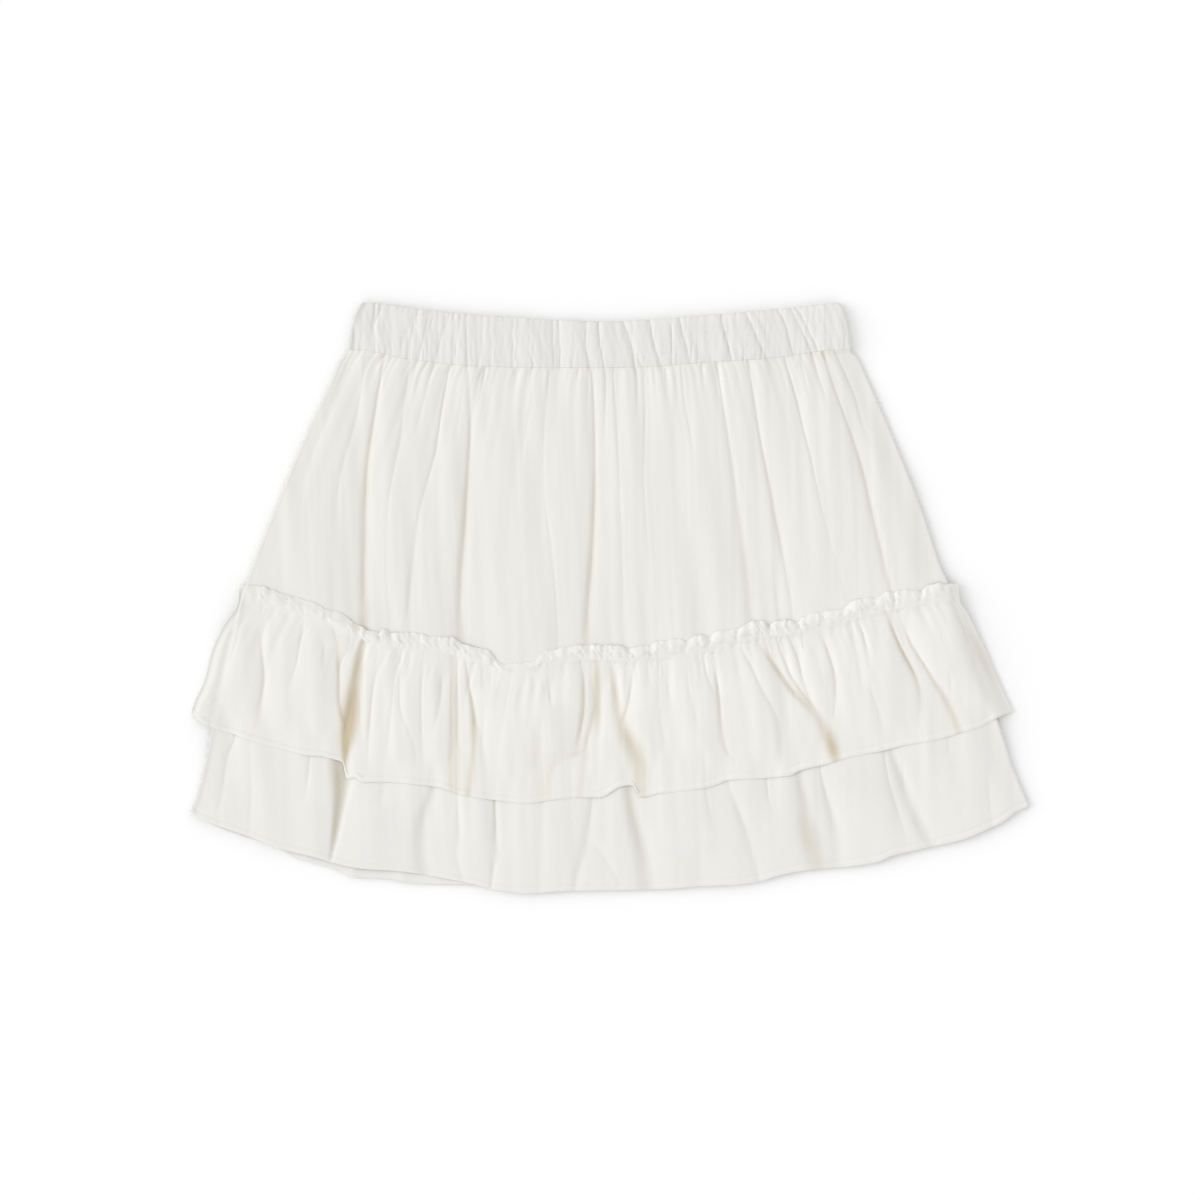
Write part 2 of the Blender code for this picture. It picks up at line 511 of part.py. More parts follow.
# The lower tier, sewn to the body's lower edge under the upper ruffle.
back_tier_lines = [(0, moved(TIER_SEAM, -SEAM_GAP / 2)), (1, BACK_HEM)]
tier_lines = [(0, moved(TIER_SEAM, -SEAM_GAP / 2)), (1, FRONT_HEM)]
back_tier_folds = scattered_folds(11, 14, (-250, 238), (-270, 270), (0.4, 1.0, 1.15), 5.5)
tier_back = Panel(back_tier_lines, SKIRT_LEFT, SKIRT_RIGHT, EVEN_STATIONS, back_tier_folds)
tier_front = Panel(tier_lines, SKIRT_LEFT, SKIRT_RIGHT, EVEN_STATIONS, TIER_FOLDS)
sew("ruffle_lower_back", tier_back, back_height, (0, 0.25, 0.42, 0.5, 0.58, 0.75, 1), 10, CLOTH, IVORY)
sew("ruffle_lower_front", tier_front, tier_height, (0, 0.22, 0.38, 0.48, 0.6, 0.8, 1), 6.5, CLOTH, IVORY)

# The upper ruffle: one strip from its heading's frilled edge, over its stitches, to its hem.
back_ruffle_lines = [(0, BACK_HEADING), (STITCH_AT, BACK_STITCH), (1, BACK_RUFFLE_HEM)]
ruffle_lines = [(0, HEADING_TOP), (STITCH_AT, STITCH_LINE), (1, RUFFLE_HEM)]
back_ruffle_folds = scattered_folds(7, 22, (-240, 225), (-268, 257), (1.0, 1.15, 1.1), 4.5)
ruffle_back = Panel(back_ruffle_lines, RUFFLE_LEFT, RUFFLE_RIGHT, RUFFLE_STATIONS, back_ruffle_folds)
ruffle_front = Panel(ruffle_lines, RUFFLE_LEFT, RUFFLE_RIGHT, RUFFLE_STATIONS, RUFFLE_FOLDS)
ruffle_rows = (0, 0.06, STITCH_AT, 0.18, 0.26, 0.4, 0.6, 0.8, 1)
sew("ruffle_upper_back", ruffle_back, back_ruffle_height, (0, STITCH_AT, 0.3, 0.6, 1), 8, CLOTH, LIGHT_IVORY)
sew("ruffle_upper_front", ruffle_front, ruffle_height, ruffle_rows, 5, CLOTH, LIGHT_IVORY)
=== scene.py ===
"""The looks of a tiered ruffle skirt lying flat with its front up, waist towards +Y.

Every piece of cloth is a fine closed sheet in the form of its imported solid: a grid of points that lie
closest along its folds, with the creases, gathers and hems that sewing gives it. Sizes are in
millimetres until a mesh is made.
"""

import math
import random

import bmesh
import bpy
import numpy as np
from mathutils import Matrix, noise


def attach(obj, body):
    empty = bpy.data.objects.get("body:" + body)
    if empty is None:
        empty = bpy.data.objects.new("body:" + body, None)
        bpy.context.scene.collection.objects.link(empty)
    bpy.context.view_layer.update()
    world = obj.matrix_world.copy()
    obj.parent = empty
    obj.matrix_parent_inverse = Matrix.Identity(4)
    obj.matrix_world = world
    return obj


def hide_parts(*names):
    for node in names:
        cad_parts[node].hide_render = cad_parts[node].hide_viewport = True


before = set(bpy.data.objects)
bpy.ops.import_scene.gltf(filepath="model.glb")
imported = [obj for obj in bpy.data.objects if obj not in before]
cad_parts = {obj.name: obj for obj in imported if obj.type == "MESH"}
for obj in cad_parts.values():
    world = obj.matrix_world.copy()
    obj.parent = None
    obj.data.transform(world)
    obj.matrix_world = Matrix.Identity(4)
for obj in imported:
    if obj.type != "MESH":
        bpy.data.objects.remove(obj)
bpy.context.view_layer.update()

# ---- Waistband -------------------------------------------------------------------------------------
# A strip of off-white crinkled viscose, folded double round a wide elastic and sewn on as a casing.
# The relaxed elastic draws it in, so that narrow slanting creases part smooth, flat stretches.
MM = 0.001
WAIST_TOP = [(-165.7, 196.7), (-158, 196.5), (-140, 194), (-114, 190.7), (-74, 187.3), (-40, 185.3),
             (-9, 184), (26, 185.3), (60, 188), (93, 190.7), (126, 194), (151.7, 196.7)]
WAIST_SEAM = [(-174.3, 165.3), (-165.7, 165.2), (-153.7, 163.3), (-140.3, 160), (-120.3, 157.3),
              (-97, 154.7), (-73.7, 153.8), (-40, 153.3), (-7, 153.3), (26.3, 154), (59.7, 156.7),
              (93, 158.7), (119.7, 161.3), (146.3, 165), (160.3, 165.3)]
BAND_LEFT = [(-165.7, 196.7), (-169.7, 188.7), (-172.3, 178.7), (-174.3, 165.3)]
BAND_RIGHT = [(151.7, 196.7), (155, 192), (158.3, 180), (160.3, 165.3)]
# The size that it was cut to, and how tall it is.
BAND_CUT, BAND_TALL = (0.37, 0.034), 32
# Its thickness over the elastic, at its folded top edge and at its seam.
BAND_WALL, BAND_TOP_WALL, BAND_SEAM_WALL = 0.9, 0.4, 0.12
# Heights: the back's middle, then the front's middle, its lowest folds and its side edges.
BAND_BACK_MID, BAND_REST, BAND_LOW, BAND_EDGE = 0.65, 4.9, 2.8, 2.2
# How much fuller the front is halfway down, how far its top edge rolls down, and how far in that
# starts. How far folds draw the top edge down, and how far in that starts.
BAND_PUFF, ROLL_DOWN, ROLL_RUN, DRAWN_DOWN, DRAWN_RUN = 0.35, 0.6, 5, 0.5, 4
# How much deeper and narrower its folds are than the body's, how strongly painted shade darkens
# them, and how far in from its left side painted shade reaches.
BAND_DEEPER, BAND_SOFTER, BAND_PAINTED_SHADE, BAND_SHADE_REACH = 1.5, 0.45, 0.6, 3
# From what depth the back's folds show, how strong its puckers are, and over what run from its sides
# they grow.
BACK_FOLD_FROM, BACK_PUCKERS, BACK_SIDES = 0.3, 0.6, 12
# How wide the round of a piece's side edges is. How much closer the grid's points lie there, and how
# far in.
EDGE_ROUND, EDGE_CLOSER, EDGE_CLOSE_WITHIN = 1.5, 5, 2

# The points that each fold runs through, with its depth and half width there in tenths of a
# millimetre. Where a fold starts with one number, that is how steep its walls are: a sharp crease
# between two soft rolls has 1.3, as the others do, and a trough with a broad floor 2.4.
CRISP = 1.3
BAND_FOLDS = [
    [(-157, 197, 8, 8), (-158, 187, 8, 8), (-160, 179, 0, 8)],
    [(-152.7, 196, 5, 8), (-155.5, 187, 6, 8), (-159, 178, 4, 8), (-157, 168, 2, 8)],
    [(-130, 192, 2, 8), (-134, 180, 3, 8), (-139, 170, 2, 9), (-141, 163, 3, 8)],
    [(-128.5, 191, 3, 7), (-132, 178, 4, 8), (-134, 163, 4, 8)],
    [(-121, 191, 2, 7), (-124, 178, 4, 8), (-128, 160, 5, 8)],
    [(-119, 186, 2, 7), (-123, 173, 3, 7), (-125, 160, 1, 7)],
    [(-107.5, 190, 2, 9), (-114, 170, 4, 10), (-117, 158, 5, 9)],
    [(-105, 189, 3, 7), (-104, 180, 3, 7), (-105, 160, 2, 7)],
    [(-100, 188, 2, 7), (-103, 169, 3, 7), (-104, 156, 3, 7)],
    [(-96, 189, 3, 8), (-96.3, 170, 4, 8), (-95.5, 156, 6, 8)],
    [(-92, 187, 1, 8), (-92, 173, 2, 8), (-91, 158, 2, 8)],
    [(-85, 188, 2, 8), (-86.3, 169, 2, 9), (-88, 156, 3, 8)],
    [(-81, 187, 2, 8), (-79.7, 171, 3, 8), (-79.7, 156, 5, 8)],
    [(-66, 186, 1, 12), (-64, 170, 2, 12), (-64, 154, 3, 8)],
    [(-53, 186, 2, 8), (-54.3, 171, 2, 9), (-52.3, 154, 4, 8)],
    [(-49, 182, 3, 7), (-47, 170, 3, 7), (-46, 163, 0, 7)],
    [(-39.5, 184, 4, 8), (-38.8, 166, 4, 8), (-37.7, 154, 4, 8)],
    [(-35, 184, 3, 7), (-34, 169, 6, 8), (-34, 154, 6, 8)],
    [(-25, 184, 0, 8), (-24, 170, 2, 12), (-24, 156, 2, 8)],
    [(-17, 184, 6, 9), (-17, 169, 7, 9), (-15, 154, 8, 9)],
    [(-8.5, 184, 8, 9), (-8.3, 175, 8, 9), (-6.5, 163, 7, 8), (-4.5, 153, 8, 9)],
    [(2.3, 183, 3, 7), (2.3, 174, 0, 7)],
    [(7.7, 184, 8, 9), (11.3, 175, 9, 9), (15, 160, 9, 9), (15.5, 154, 10, 9)],
    [(15, 164, 0, 8), (17.5, 159, 4, 8), (21, 153, 6, 9)],
    [(25.5, 185, 8, 9), (27.4, 173, 9, 9), (31, 160, 8, 9), (33.3, 153, 8, 9)],
    [(38.7, 185, 2, 7), (40, 176, 5, 8), (40.5, 160, 4, 8), (41, 155, 2, 8)],
    [(45, 186, 8, 9), (48.3, 173, 8, 9), (51.2, 162, 7, 9), (53, 155, 4, 9)],
    [(52.5, 179, 0, 18), (55, 171, 3, 20), (58, 160, 0, 18)],
    [(73, 190, 9, 9), (75, 178, 10, 9), (78, 166, 9, 9), (81, 156, 7, 9)],
    [(83, 168, 0, 8), (88.7, 158, 5, 9), (90, 156, 7, 9)],
    [(88.5, 191, 5, 9), (93.5, 181, 7, 9), (98.3, 170, 8, 9), (104.2, 157, 7, 9)],
    [(95, 190, 3, 12), (100.6, 181, 4, 14), (105.4, 172, 2, 12), (109, 164, 0, 12)],
    [(110, 193, 7, 9), (115, 184, 9, 9), (118.3, 172, 9, 9), (122, 160, 7, 9)],
    [(119, 194, 5, 9), (124.3, 183, 7, 9), (129, 173, 8, 9), (134, 162, 7, 9)],
    [(122.5, 194, 5, 8), (128, 185, 6, 8), (132.7, 175, 6, 8), (138, 164, 6, 8)],
    [(137, 192, 3, 9), (141, 183, 2, 9), (144, 176, 0, 9)],
]
# A fold's floor lies this far to the right of its points, and by the same share of its half width.
# Its crease is wider on the right than on the left, by twice the lean.
FLOOR_RIGHT, LEAN = 0.3, 0.1
# Round it the cloth dips softly: by what share of the fold's depth and at most how deep, and how many
# times wider than the fold on its left and on its right.
SOFT_SHARE, SOFT_MOST, SOFT_LEFT, SOFT_RIGHT, SOFT_LEAST = 0.6, 1.2, 4.6, 5, 0.3
# The share of a fold's depth that is its narrow crease. How much wider than that the painted shade in
# it is, its least half width, and how far to the left it lies.
CREASE_SHARE, SHADE_WIDTH, SHADE_LEAST, SHADE_LEFT = 0.5, 1.4, 0.4, 0.4
# Painted shade at a piece's left side, where it turns round to the back: the grey that the cloth's
# colour is multiplied by there.
PAINTED_SIDE_GREY = "E2E2E2"
# How far folds stray from their lines, how much their depth changes, and over what lengths.
STRAY, STRAY_LONG, DEPTH_CHANGE, CHANGE_LONG = 0.25, 28, 0.2, 22
# How much closer the grid's points lie at a fold, how far from it, and from what depth on. How many
# places in a row are looked at for that, and how many rounds ease the step from row to row.
CLOSER, CLOSE_WITHIN, CLOSE_DEPTH, PLACES, ROW_ROUNDS = 2.6, 1.7, 0.6, 1600, 14


def curve(points):
    """A smooth function through (x, y) points that never overshoots them."""
    xs, ys = np.array(sorted(points), float).T
    steps = np.diff(xs)
    slopes = np.diff(ys) / steps
    product = slopes[:-1] * slopes[1:]
    total = slopes[:-1] + slopes[1:]
    inner = np.where(product > 0, 2 * product / np.where(total == 0, 1, total), 0)
    tangents = np.concatenate([slopes[:1], inner, slopes[-1:]])

    def at(x):
        x = np.clip(x, xs[0], xs[-1])
        i = np.clip(np.searchsorted(xs, x) - 1, 0, len(steps) - 1)
        t = (x - xs[i]) / steps[i]
        bend = tangents[i] * t * (1 - t) ** 2 - tangents[i + 1] * t**2 * (1 - t)
        return ys[i] * (1 - t) ** 2 * (1 + 2 * t) + ys[i + 1] * t**2 * (3 - 2 * t) + bend * steps[i]

    return at


def side(points):
    """The x of a side at a height y."""
    return curve([(y, x) for x, y in points])


def eased(values, rounds=30):
    """The values along a line with its corners rounded off and its ends kept."""
    for _ in range(rounds):
        middle = (values[:-2] + 2 * values[1:-1] + values[2:]) / 4
        values = np.concatenate([values[:1], middle, values[-1:]])
    return values


def moved(points, dy):
    """A line moved along Y."""
    return [(x, y + dy) for x, y in points]


def ramp(distance, run):
    """0 up to the start of a run and 1 past its end, with soft ends."""
    t = np.clip(distance / run, 0, 1)
    return t * t * (3 - 2 * t)


def rounded(distance, run=EDGE_ROUND):
    """0 at an edge and 1 past its round, which is a quarter of an ellipse."""
    return np.sqrt(1 - (1 - np.clip(distance / run, 0, 1)) ** 2)


def mixed(first, second, share):
    """The first value where the share is 0, and the second where it is 1."""
    return first + (second - first) * share


def close_to(distance, width):
    """1 at a line, falling off to 0 on both sides of it."""
    return np.exp(-((distance / width) ** 2))


def kept_over(height, lowest, softness=0.5):
    """The height, bent so that it stays over the lowest one."""
    over = height - lowest
    return lowest + (over + np.sqrt(over**2 + softness**2)) / 2


def uneven(x, y, across, along, seed):
    """Smooth noise from about -1 to 1, in patches that wide and long."""
    x, y = np.broadcast_arrays(x, y)
    at = zip((x / across).flat, (y / along + 0.6 * x / across).flat)
    values = [noise.noise((a, b, seed), noise_basis="PERLIN_NEW") for a, b in at]
    return np.reshape(values, x.shape)


def wavering(x, spacing, seed):
    """Smooth noise from about -1 to 1 along X alone."""
    return uneven(x, 0, spacing, 1, seed)


def rumpled(x, y, layers, seed=0):
    """Layers of smooth noise: each one's height, slant, its patches' width and length, and a seed."""
    return sum(high * uneven(x + slant * y, y, across, along, seed + own)
               for high, slant, across, along, own in layers)


class Folds:
    """The folds of one piece of cloth, followed down it."""

    def __init__(self, folds, seed, deeper=1.0, softer=1.0):
        self.softer = softer
        self.runs = []
        for i, fold in enumerate(folds):
            crisp, points = (fold[0], fold[1:]) if isinstance(fold[0], float) else (CRISP, fold)
            xs, ys, deeps, wides = np.array(points, float).T
            heights = np.linspace(ys.min(), ys.max(), 60)
            rows = xs, deeps / 10, wides / 10
            path, deep, wide = (eased(curve(zip(ys, row))(heights)) for row in rows)
            path = path + STRAY * uneven(heights, 9.7 * i, STRAY_LONG, 1, seed)
            change = DEPTH_CHANGE * uneven(heights, 5.3 * i, CHANGE_LONG, 1, seed + 0.5)
            floor = path + FLOOR_RIGHT + FLOOR_RIGHT * wide
            self.runs.append((crisp, heights, floor, deep * (deeper * (1 + change)), wide))

    def at(self, x, y):
        """How far the folds lower the cloth at a point and how deep it lies in painted shade."""
        lowered, shade = np.zeros_like(x), np.zeros_like(x)
        for crisp, heights, floor, deep, wide in self.runs:
            depth, half = np.interp(y, heights, deep), np.interp(y, heights, wide)
            off = x - np.interp(y, heights, floor)
            left = off < 0
            near = np.exp(-np.abs(off / (half * np.where(left, 1 - LEAN, 1 + LEAN))) ** crisp)
            lowered += CREASE_SHARE * depth * near
            shade += depth * close_to(off + SHADE_LEFT * half, SHADE_WIDTH * half + SHADE_LEAST)
            soft = off / (np.where(left, SOFT_LEFT, SOFT_RIGHT) * (half + SOFT_LEAST) * self.softer)
            dip = self.softer * np.minimum(SOFT_SHARE * depth, SOFT_MOST)
            lowered += dip * np.exp(-np.abs(soft) ** 1.7)
        return lowered, shade

    def closeness(self, x, y):
        """How close together the points of a grid should lie there."""
        close = np.ones_like(x)
        for _, heights, floor, deep, wide in self.runs:
            depth = np.abs(np.interp(y, heights, deep))
            reach = CLOSE_WITHIN * np.interp(y, heights, wide)
            near = close_to(x - np.interp(y, heights, floor), reach)
            close += CLOSER * np.minimum(depth / CLOSE_DEPTH, 1) * near
        return close


class Panel:
    """The plan of a piece: its lines from the top down, each at its share of the way, and its sides."""

    def __init__(self, lines, left, right):
        self.levels = [v for v, _ in lines]
        self.lines = [curve(points) for _, points in lines]
        self.left, self.right = side(left), side(right)
        self.left_ends = [points[0][1] for _, points in lines]
        self.right_ends = [points[-1][1] for _, points in lines]

    def sides(self, v):
        """The x of both sides at the share v of the way down."""
        left_y = np.interp(v, self.levels, self.left_ends)
        right_y = np.interp(v, self.levels, self.right_ends)
        return self.left(left_y), self.right(right_y)

    def plan(self, u, v):
        """The point at the share u of the way across and v of the way down."""
        left, right = self.sides(v)
        y = np.zeros_like(u * v)
        for i, (level, line) in enumerate(zip(self.levels, self.lines)):
            start, end = self.sides(level)
            weight = np.interp(v, self.levels, np.eye(len(self.levels))[i])
            y += weight * line(mixed(start, end, u))
        return mixed(left, right, u), y

    def grid(self, rows, columns, folds):
        """The plan of a grid of points that lie closest at the folds, and their shares u and v."""
        even = np.linspace(0, 1, PLACES)
        us = []
        for v in rows:
            x, y = self.plan(even, v)
            close = folds.closeness(x, y)
            close += EDGE_CLOSER * sum(np.exp(-d / EDGE_CLOSE_WITHIN) for d in (x - x[0], x[-1] - x))
            total = np.concatenate([[0], np.cumsum((close[1:] + close[:-1]) / 2)])
            us.append(np.interp(np.linspace(0, 1, columns + 1), total / total[-1], even))
        v = np.array(rows, float)[:, None]
        u = eased(np.array(us), ROW_ROUNDS)
        x, y = self.plan(u, v)
        return x, y, u, v


def scattered_folds(seed, count, top, low, ys, depths, wides):
    """Folds of uneven depth, spread between two ends at the top line and two at the bottom line."""
    dice = random.Random(seed)
    folds = []
    for i in range(count):
        share = (i + 0.5 + dice.uniform(-0.22, 0.22)) / count
        start, end = mixed(*top, share), mixed(*low, share)
        strength = dice.uniform(0.6, 1.0)
        xs = (start, (start + end) / 2, end)
        folds.append([(x, y, strength * d, w) for x, y, d, w in zip(xs, ys, depths, wides)])
    return folds


def gathered(gathers, ends, x_at_seam, run):
    """How far fine gathers between two ends lower the cloth, at a distance of run from their seam.

    They come in layers: each one's seed, spacing, depth and reach, its half width at the seam, and
    over what distance that widens.
    """
    far = np.abs(run)
    lowered = np.zeros_like(x_at_seam * run)
    for seed, spacing, depth, reach, width, spread in gathers:
        dice = random.Random(seed)
        half = width * (1 + far / spread) ** 0.5
        layer = np.zeros_like(lowered)
        at = ends[0]
        while at < ends[1]:
            deep, long = depth * dice.uniform(0.1, 1) ** 1.5, reach * dice.uniform(0.25, 1)
            layer += deep * np.exp(-((far / long) ** 1.5)) * close_to(x_at_seam - at, half)
            at += spacing * dice.uniform(0.5, 1.7)
        lowered += layer
    return lowered


# How deep in a fold the painted shade starts, and over what depth it gets full.
PAINTED_SHADE_FROM, PAINTED_SHADE_RUN = 0.3, 3.1


def painted_fold_shade(lowered):
    """How strongly painted shade darkens the cloth at a fold's depth, from 0 to 1."""
    return np.clip((lowered - PAINTED_SHADE_FROM) / PAINTED_SHADE_RUN, 0, 1) ** 1.7


def from_sides(x, y, left, right):
    """The distance in from the nearer side, less than 0 outside it."""
    return np.minimum(x - left(y), right(y) - x)


def painted_side_shade_at(x, y, left, reach):
    """How much painted shade darkens the cloth at its left side: 1 at the edge, and 0 in from it."""
    return close_to(np.maximum(x - left(y), 0), reach)


def add_node(material, kind, settings=None, inputs=None):
    """Adds a node with its settings, and links or sets its inputs."""
    tree = material.node_tree
    made = tree.nodes.new(kind)
    for name, value in (settings or {}).items():
        setattr(made, name, value)
    for name, value in (inputs or {}).items():
        if isinstance(value, bpy.types.NodeSocket):
            tree.links.new(value, made.inputs[name])
        else:
            made.inputs[name].default_value = value
    return made


def linear(srgb):
    """The linear colour of an sRGB hex value."""
    parts = [int(srgb[i : i + 2], 16) / 255 for i in (0, 2, 4)]
    return (*[c / 12.92 if c <= 0.04045 else ((c + 0.055) / 1.055) ** 2.4 for c in parts], 1)


# Woven viscose crepe: high-twist yarns that shrink in the wash, so that the matt cloth has fine
# lengthwise crinkles. The floors of its folds are painted with shade, dark and creamy, for the shade
# in them and for the light that passes between its layers.
CRINKLE_ACROSS, CRINKLE_ALONG = 1.3, 16.0
CREPE_ACROSS, CREPE_ALONG = 0.7, 2.5
# Yarns 0.3 mm apart are too fine to show, so they are drawn at 0.6 mm.
YARN_SPACING = 0.6
CRINKLE_BUMP, YARN_BUMP = 0.05, 0.012


def crinkled_viscose(name, light, shade_colour):
    """Matt crepe with its weave along its own UV map, painted with shade in its folds and at its left
    side.
    """
    material = bpy.data.materials.new(name)
    material.use_nodes = True
    links = material.node_tree.links
    shader = material.node_tree.nodes["Principled BSDF"]
    cloth = add_node(material, "ShaderNodeUVMap", {"uv_map": "Cloth"}).outputs["UV"]

    def crinkles(across, along, detail):
        scale = (1 / (across * MM), 1 / (along * MM), 1)
        placed = add_node(material, "ShaderNodeMapping", {}, {"Vector": cloth, "Scale": scale})
        settings = {"noise_dimensions": "2D"}
        inputs = {"Vector": placed.outputs["Vector"], "Scale": 1.0, "Detail": detail, "Roughness": 0.5}
        return add_node(material, "ShaderNodeTexNoise", settings, inputs).outputs["Fac"]

    def yarns(direction):
        # A wave texture's bands are 20 to a unit, divided by twice pi.
        scale = 2 * math.pi / 20 / (YARN_SPACING * MM)
        settings = {"bands_direction": direction}
        inputs = {"Vector": cloth, "Scale": scale, "Distortion": 0.6, "Detail": 1.0}
        return add_node(material, "ShaderNodeTexWave", settings, inputs).outputs["Fac"]

    weave = add_node(material, "ShaderNodeMath", {"operation": "MAXIMUM"})
    links.new(yarns("X"), weave.inputs[0])
    links.new(yarns("Y"), weave.inputs[1])
    both = add_node(material, "ShaderNodeMath", {"operation": "MULTIPLY_ADD"}, {1: 0.4})
    links.new(crinkles(CREPE_ACROSS, CREPE_ALONG, 1.0), both.inputs[0])
    links.new(crinkles(CRINKLE_ACROSS, CRINKLE_ALONG, 2.0), both.inputs[2])
    inputs = {"Height": weave.outputs["Value"], "Strength": 1.0, "Distance": YARN_BUMP * MM}
    yarn_bump = add_node(material, "ShaderNodeBump", {}, inputs)
    inputs = {"Height": both.outputs["Value"], "Strength": 1.0, "Distance": CRINKLE_BUMP * MM,
              "Normal": yarn_bump.outputs["Normal"]}
    bump = add_node(material, "ShaderNodeBump", {}, inputs)
    # Painted shade in the folds: where the crease attribute is high, the colour is mixed towards the
    # darker shade colour.
    crease = add_node(material, "ShaderNodeAttribute", {"attribute_name": "crease"})
    # The Mix node's Factor, A and B of its colours are its inputs 0, 6 and 7.
    inputs = {0: crease.outputs["Fac"], 6: linear(light), 7: linear(shade_colour)}
    flat = add_node(material, "ShaderNodeMix", {"data_type": "RGBA"}, inputs)
    # Painted shade at a piece's left side: its colour is multiplied towards a grey there.
    turned = add_node(material, "ShaderNodeAttribute", {"attribute_name": "turned"})
    inputs = {0: turned.outputs["Fac"], 6: flat.outputs[2], 7: linear(PAINTED_SIDE_GREY)}
    settings = {"data_type": "RGBA", "blend_type": "MULTIPLY"}
    colour = add_node(material, "ShaderNodeMix", settings, inputs)
    links.new(colour.outputs[2], shader.inputs["Base Color"])
    links.new(bump.outputs["Normal"], shader.inputs["Normal"])
    shader.inputs["Roughness"].default_value = 0.85
    shader.inputs["Specular IOR Level"].default_value = 0.25
    shader.inputs["Sheen Weight"].default_value = 0.1
    shader.inputs["Sheen Roughness"].default_value = 0.5
    return material


def lay_cloth(node, slot, points, shares, walls, cut, material, rests_on, **shades):
    """One closed sheet of cloth in place of a solid, through a grid of points.

    Its UVs are in metres of the cloth as it was cut. The shades are attributes of painted shade that
    its material reads: how dark its folds are painted, and how dark its left side is painted.
    """
    x, y, z = points
    u, v = np.broadcast_arrays(*shares)
    down, across = x.shape[0] - 1, x.shape[1] - 1
    bm = bmesh.new()
    bm.loops.layers.uv.new("Cloth")
    bmesh.ops.create_grid(bm, x_segments=across, y_segments=down, size=0.5, calc_uvs=True)
    mesh = bpy.data.meshes.new(node + "_cloth")
    bm.to_mesh(mesh)
    bm.free()

    places = np.empty(len(mesh.vertices) * 3, np.float32)
    mesh.vertices.foreach_get("co", places)
    places = places.reshape(-1, 3)
    column = np.rint((places[:, 0] + 0.5) * across).astype(int)
    row = np.rint((0.5 - places[:, 1]) * down).astype(int)
    places = np.stack([x[row, column], y[row, column], z[row, column]], axis=1) * MM
    mesh.vertices.foreach_set("co", places.astype(np.float32).ravel())

    corners = np.empty(len(mesh.loops), np.int32)
    mesh.loops.foreach_get("vertex_index", corners)
    row_of, column_of = row[corners], column[corners]
    uv = np.stack([u[row_of, column_of] * cut[0], -v[row_of, column_of] * cut[1]], axis=1)
    mesh.uv_layers["Cloth"].uv.foreach_set("vector", uv.astype(np.float32).ravel())

    for name, values in shades.items():
        attribute = mesh.attributes.new(name, "FLOAT", "POINT")
        attribute.data.foreach_set("value", values[row, column].astype(np.float32))
    mesh.shade_smooth()
    mesh.materials.append(material)
    piece = bpy.data.objects.new(mesh.name, mesh)
    bpy.context.scene.collection.objects.link(piece)

    layers = piece.vertex_groups.new(name="layers")
    walls = np.broadcast_to(walls, x.shape)
    thickest = walls.max()
    shares = np.round(walls[row, column] / thickest, 3)
    for share in np.unique(shares):
        layers.add(np.flatnonzero(shares == share).tolist(), float(share), "REPLACE")
    solidify = piece.modifiers.new("Wall", "SOLIDIFY")
    solidify.thickness = thickest * MM
    solidify.offset = 0
    solidify.vertex_group = "layers"

    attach(piece, "root")
    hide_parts(node)


# The broad, low waves that the cloth lies in between its folds, and its long crinkles.
WAVES = [(1, 0, 26, 110, 0), (0.4, 0, 10, 90, 0.2), (0.14, 0, 4, 60, 0.3), (0.07, 0, 1.8, 40, 0.6)]
# The casing's fine slanting rumples.
BAND_RUMPLES = [(0.26, 0.3, 3.2, 40, 4), (0.2, -0.2, 1.5, 26, 8)]
# Its puckers where it is sewn to the body and along its top edge, and the ends between them all.
SEAM_PUCKERS, TOP_PUCKERS = (2.4, 0.6, 26, 0.55, 80), (2.8, 0.5, 26, 0.55, 80)
WAIST_ENDS = (-176, 162)


def puckered(x, v, seed):
    """How far the casing's puckers lower it."""
    by_seam = gathered([(seed, *SEAM_PUCKERS)], WAIST_ENDS, x, (1 - v) * BAND_TALL)
    return by_seam + gathered([(seed + 1, *TOP_PUCKERS)], WAIST_ENDS, x, v * BAND_TALL)


band_left, band_right = side(BAND_LEFT), side(BAND_RIGHT)
band = Panel([(0, WAIST_TOP), (1, WAIST_SEAM)], BAND_LEFT, BAND_RIGHT)
band_rows = [0, 0.012, 0.03, 0.055, *np.linspace(0.09, 0.91, 19), 0.945, 0.97, 0.988, 1]
# The casing's ivory, and its darker second colour: painted shade for the floors of its folds.
casing_ivory = crinkled_viscose("viscose_crepe_casing", "E0DFDC", "C6BEAB")

folds = Folds(BAND_FOLDS, 1, BAND_DEEPER, BAND_SOFTER)
x, y, u, v = band.grid(band_rows, 440, folds)
lowered, shade = folds.at(x, y)
lowered += puckered(x, v, 31)
inner = rounded(from_sides(x, y, band_left, band_right))
level = BAND_REST + BAND_PUFF * np.sin(np.pi * v) + rumpled(x, y, WAVES, 5) * inner
level += rumpled(x, y, BAND_RUMPLES)
by_top = 1 - ramp(v * BAND_TALL, ROLL_RUN)
by_seam = 1 - ramp((1 - v) * BAND_TALL, ROLL_RUN)
z = mixed(BAND_EDGE, kept_over(level - lowered, BAND_LOW), inner) - ROLL_DOWN * by_top
y -= DRAWN_DOWN * np.minimum(lowered, 1) * (1 - ramp(v * BAND_TALL, DRAWN_RUN))
walls = BAND_WALL - ((BAND_WALL - BAND_TOP_WALL) * by_top + (BAND_WALL - BAND_SEAM_WALL) * by_seam)
seam_at, seam_height = x[-1].copy(), z[-1].copy()
# Its folds and its left side are painted with shade.
lay_cloth("waistband_front", "waistband", (x, y, z), (u, v), walls, BAND_CUT, casing_ivory,
          ["waistband_back"], crease=BAND_PAINTED_SHADE * painted_fold_shade(shade),
          turned=painted_side_shade_at(x, y, band_left, BAND_SHADE_REACH))

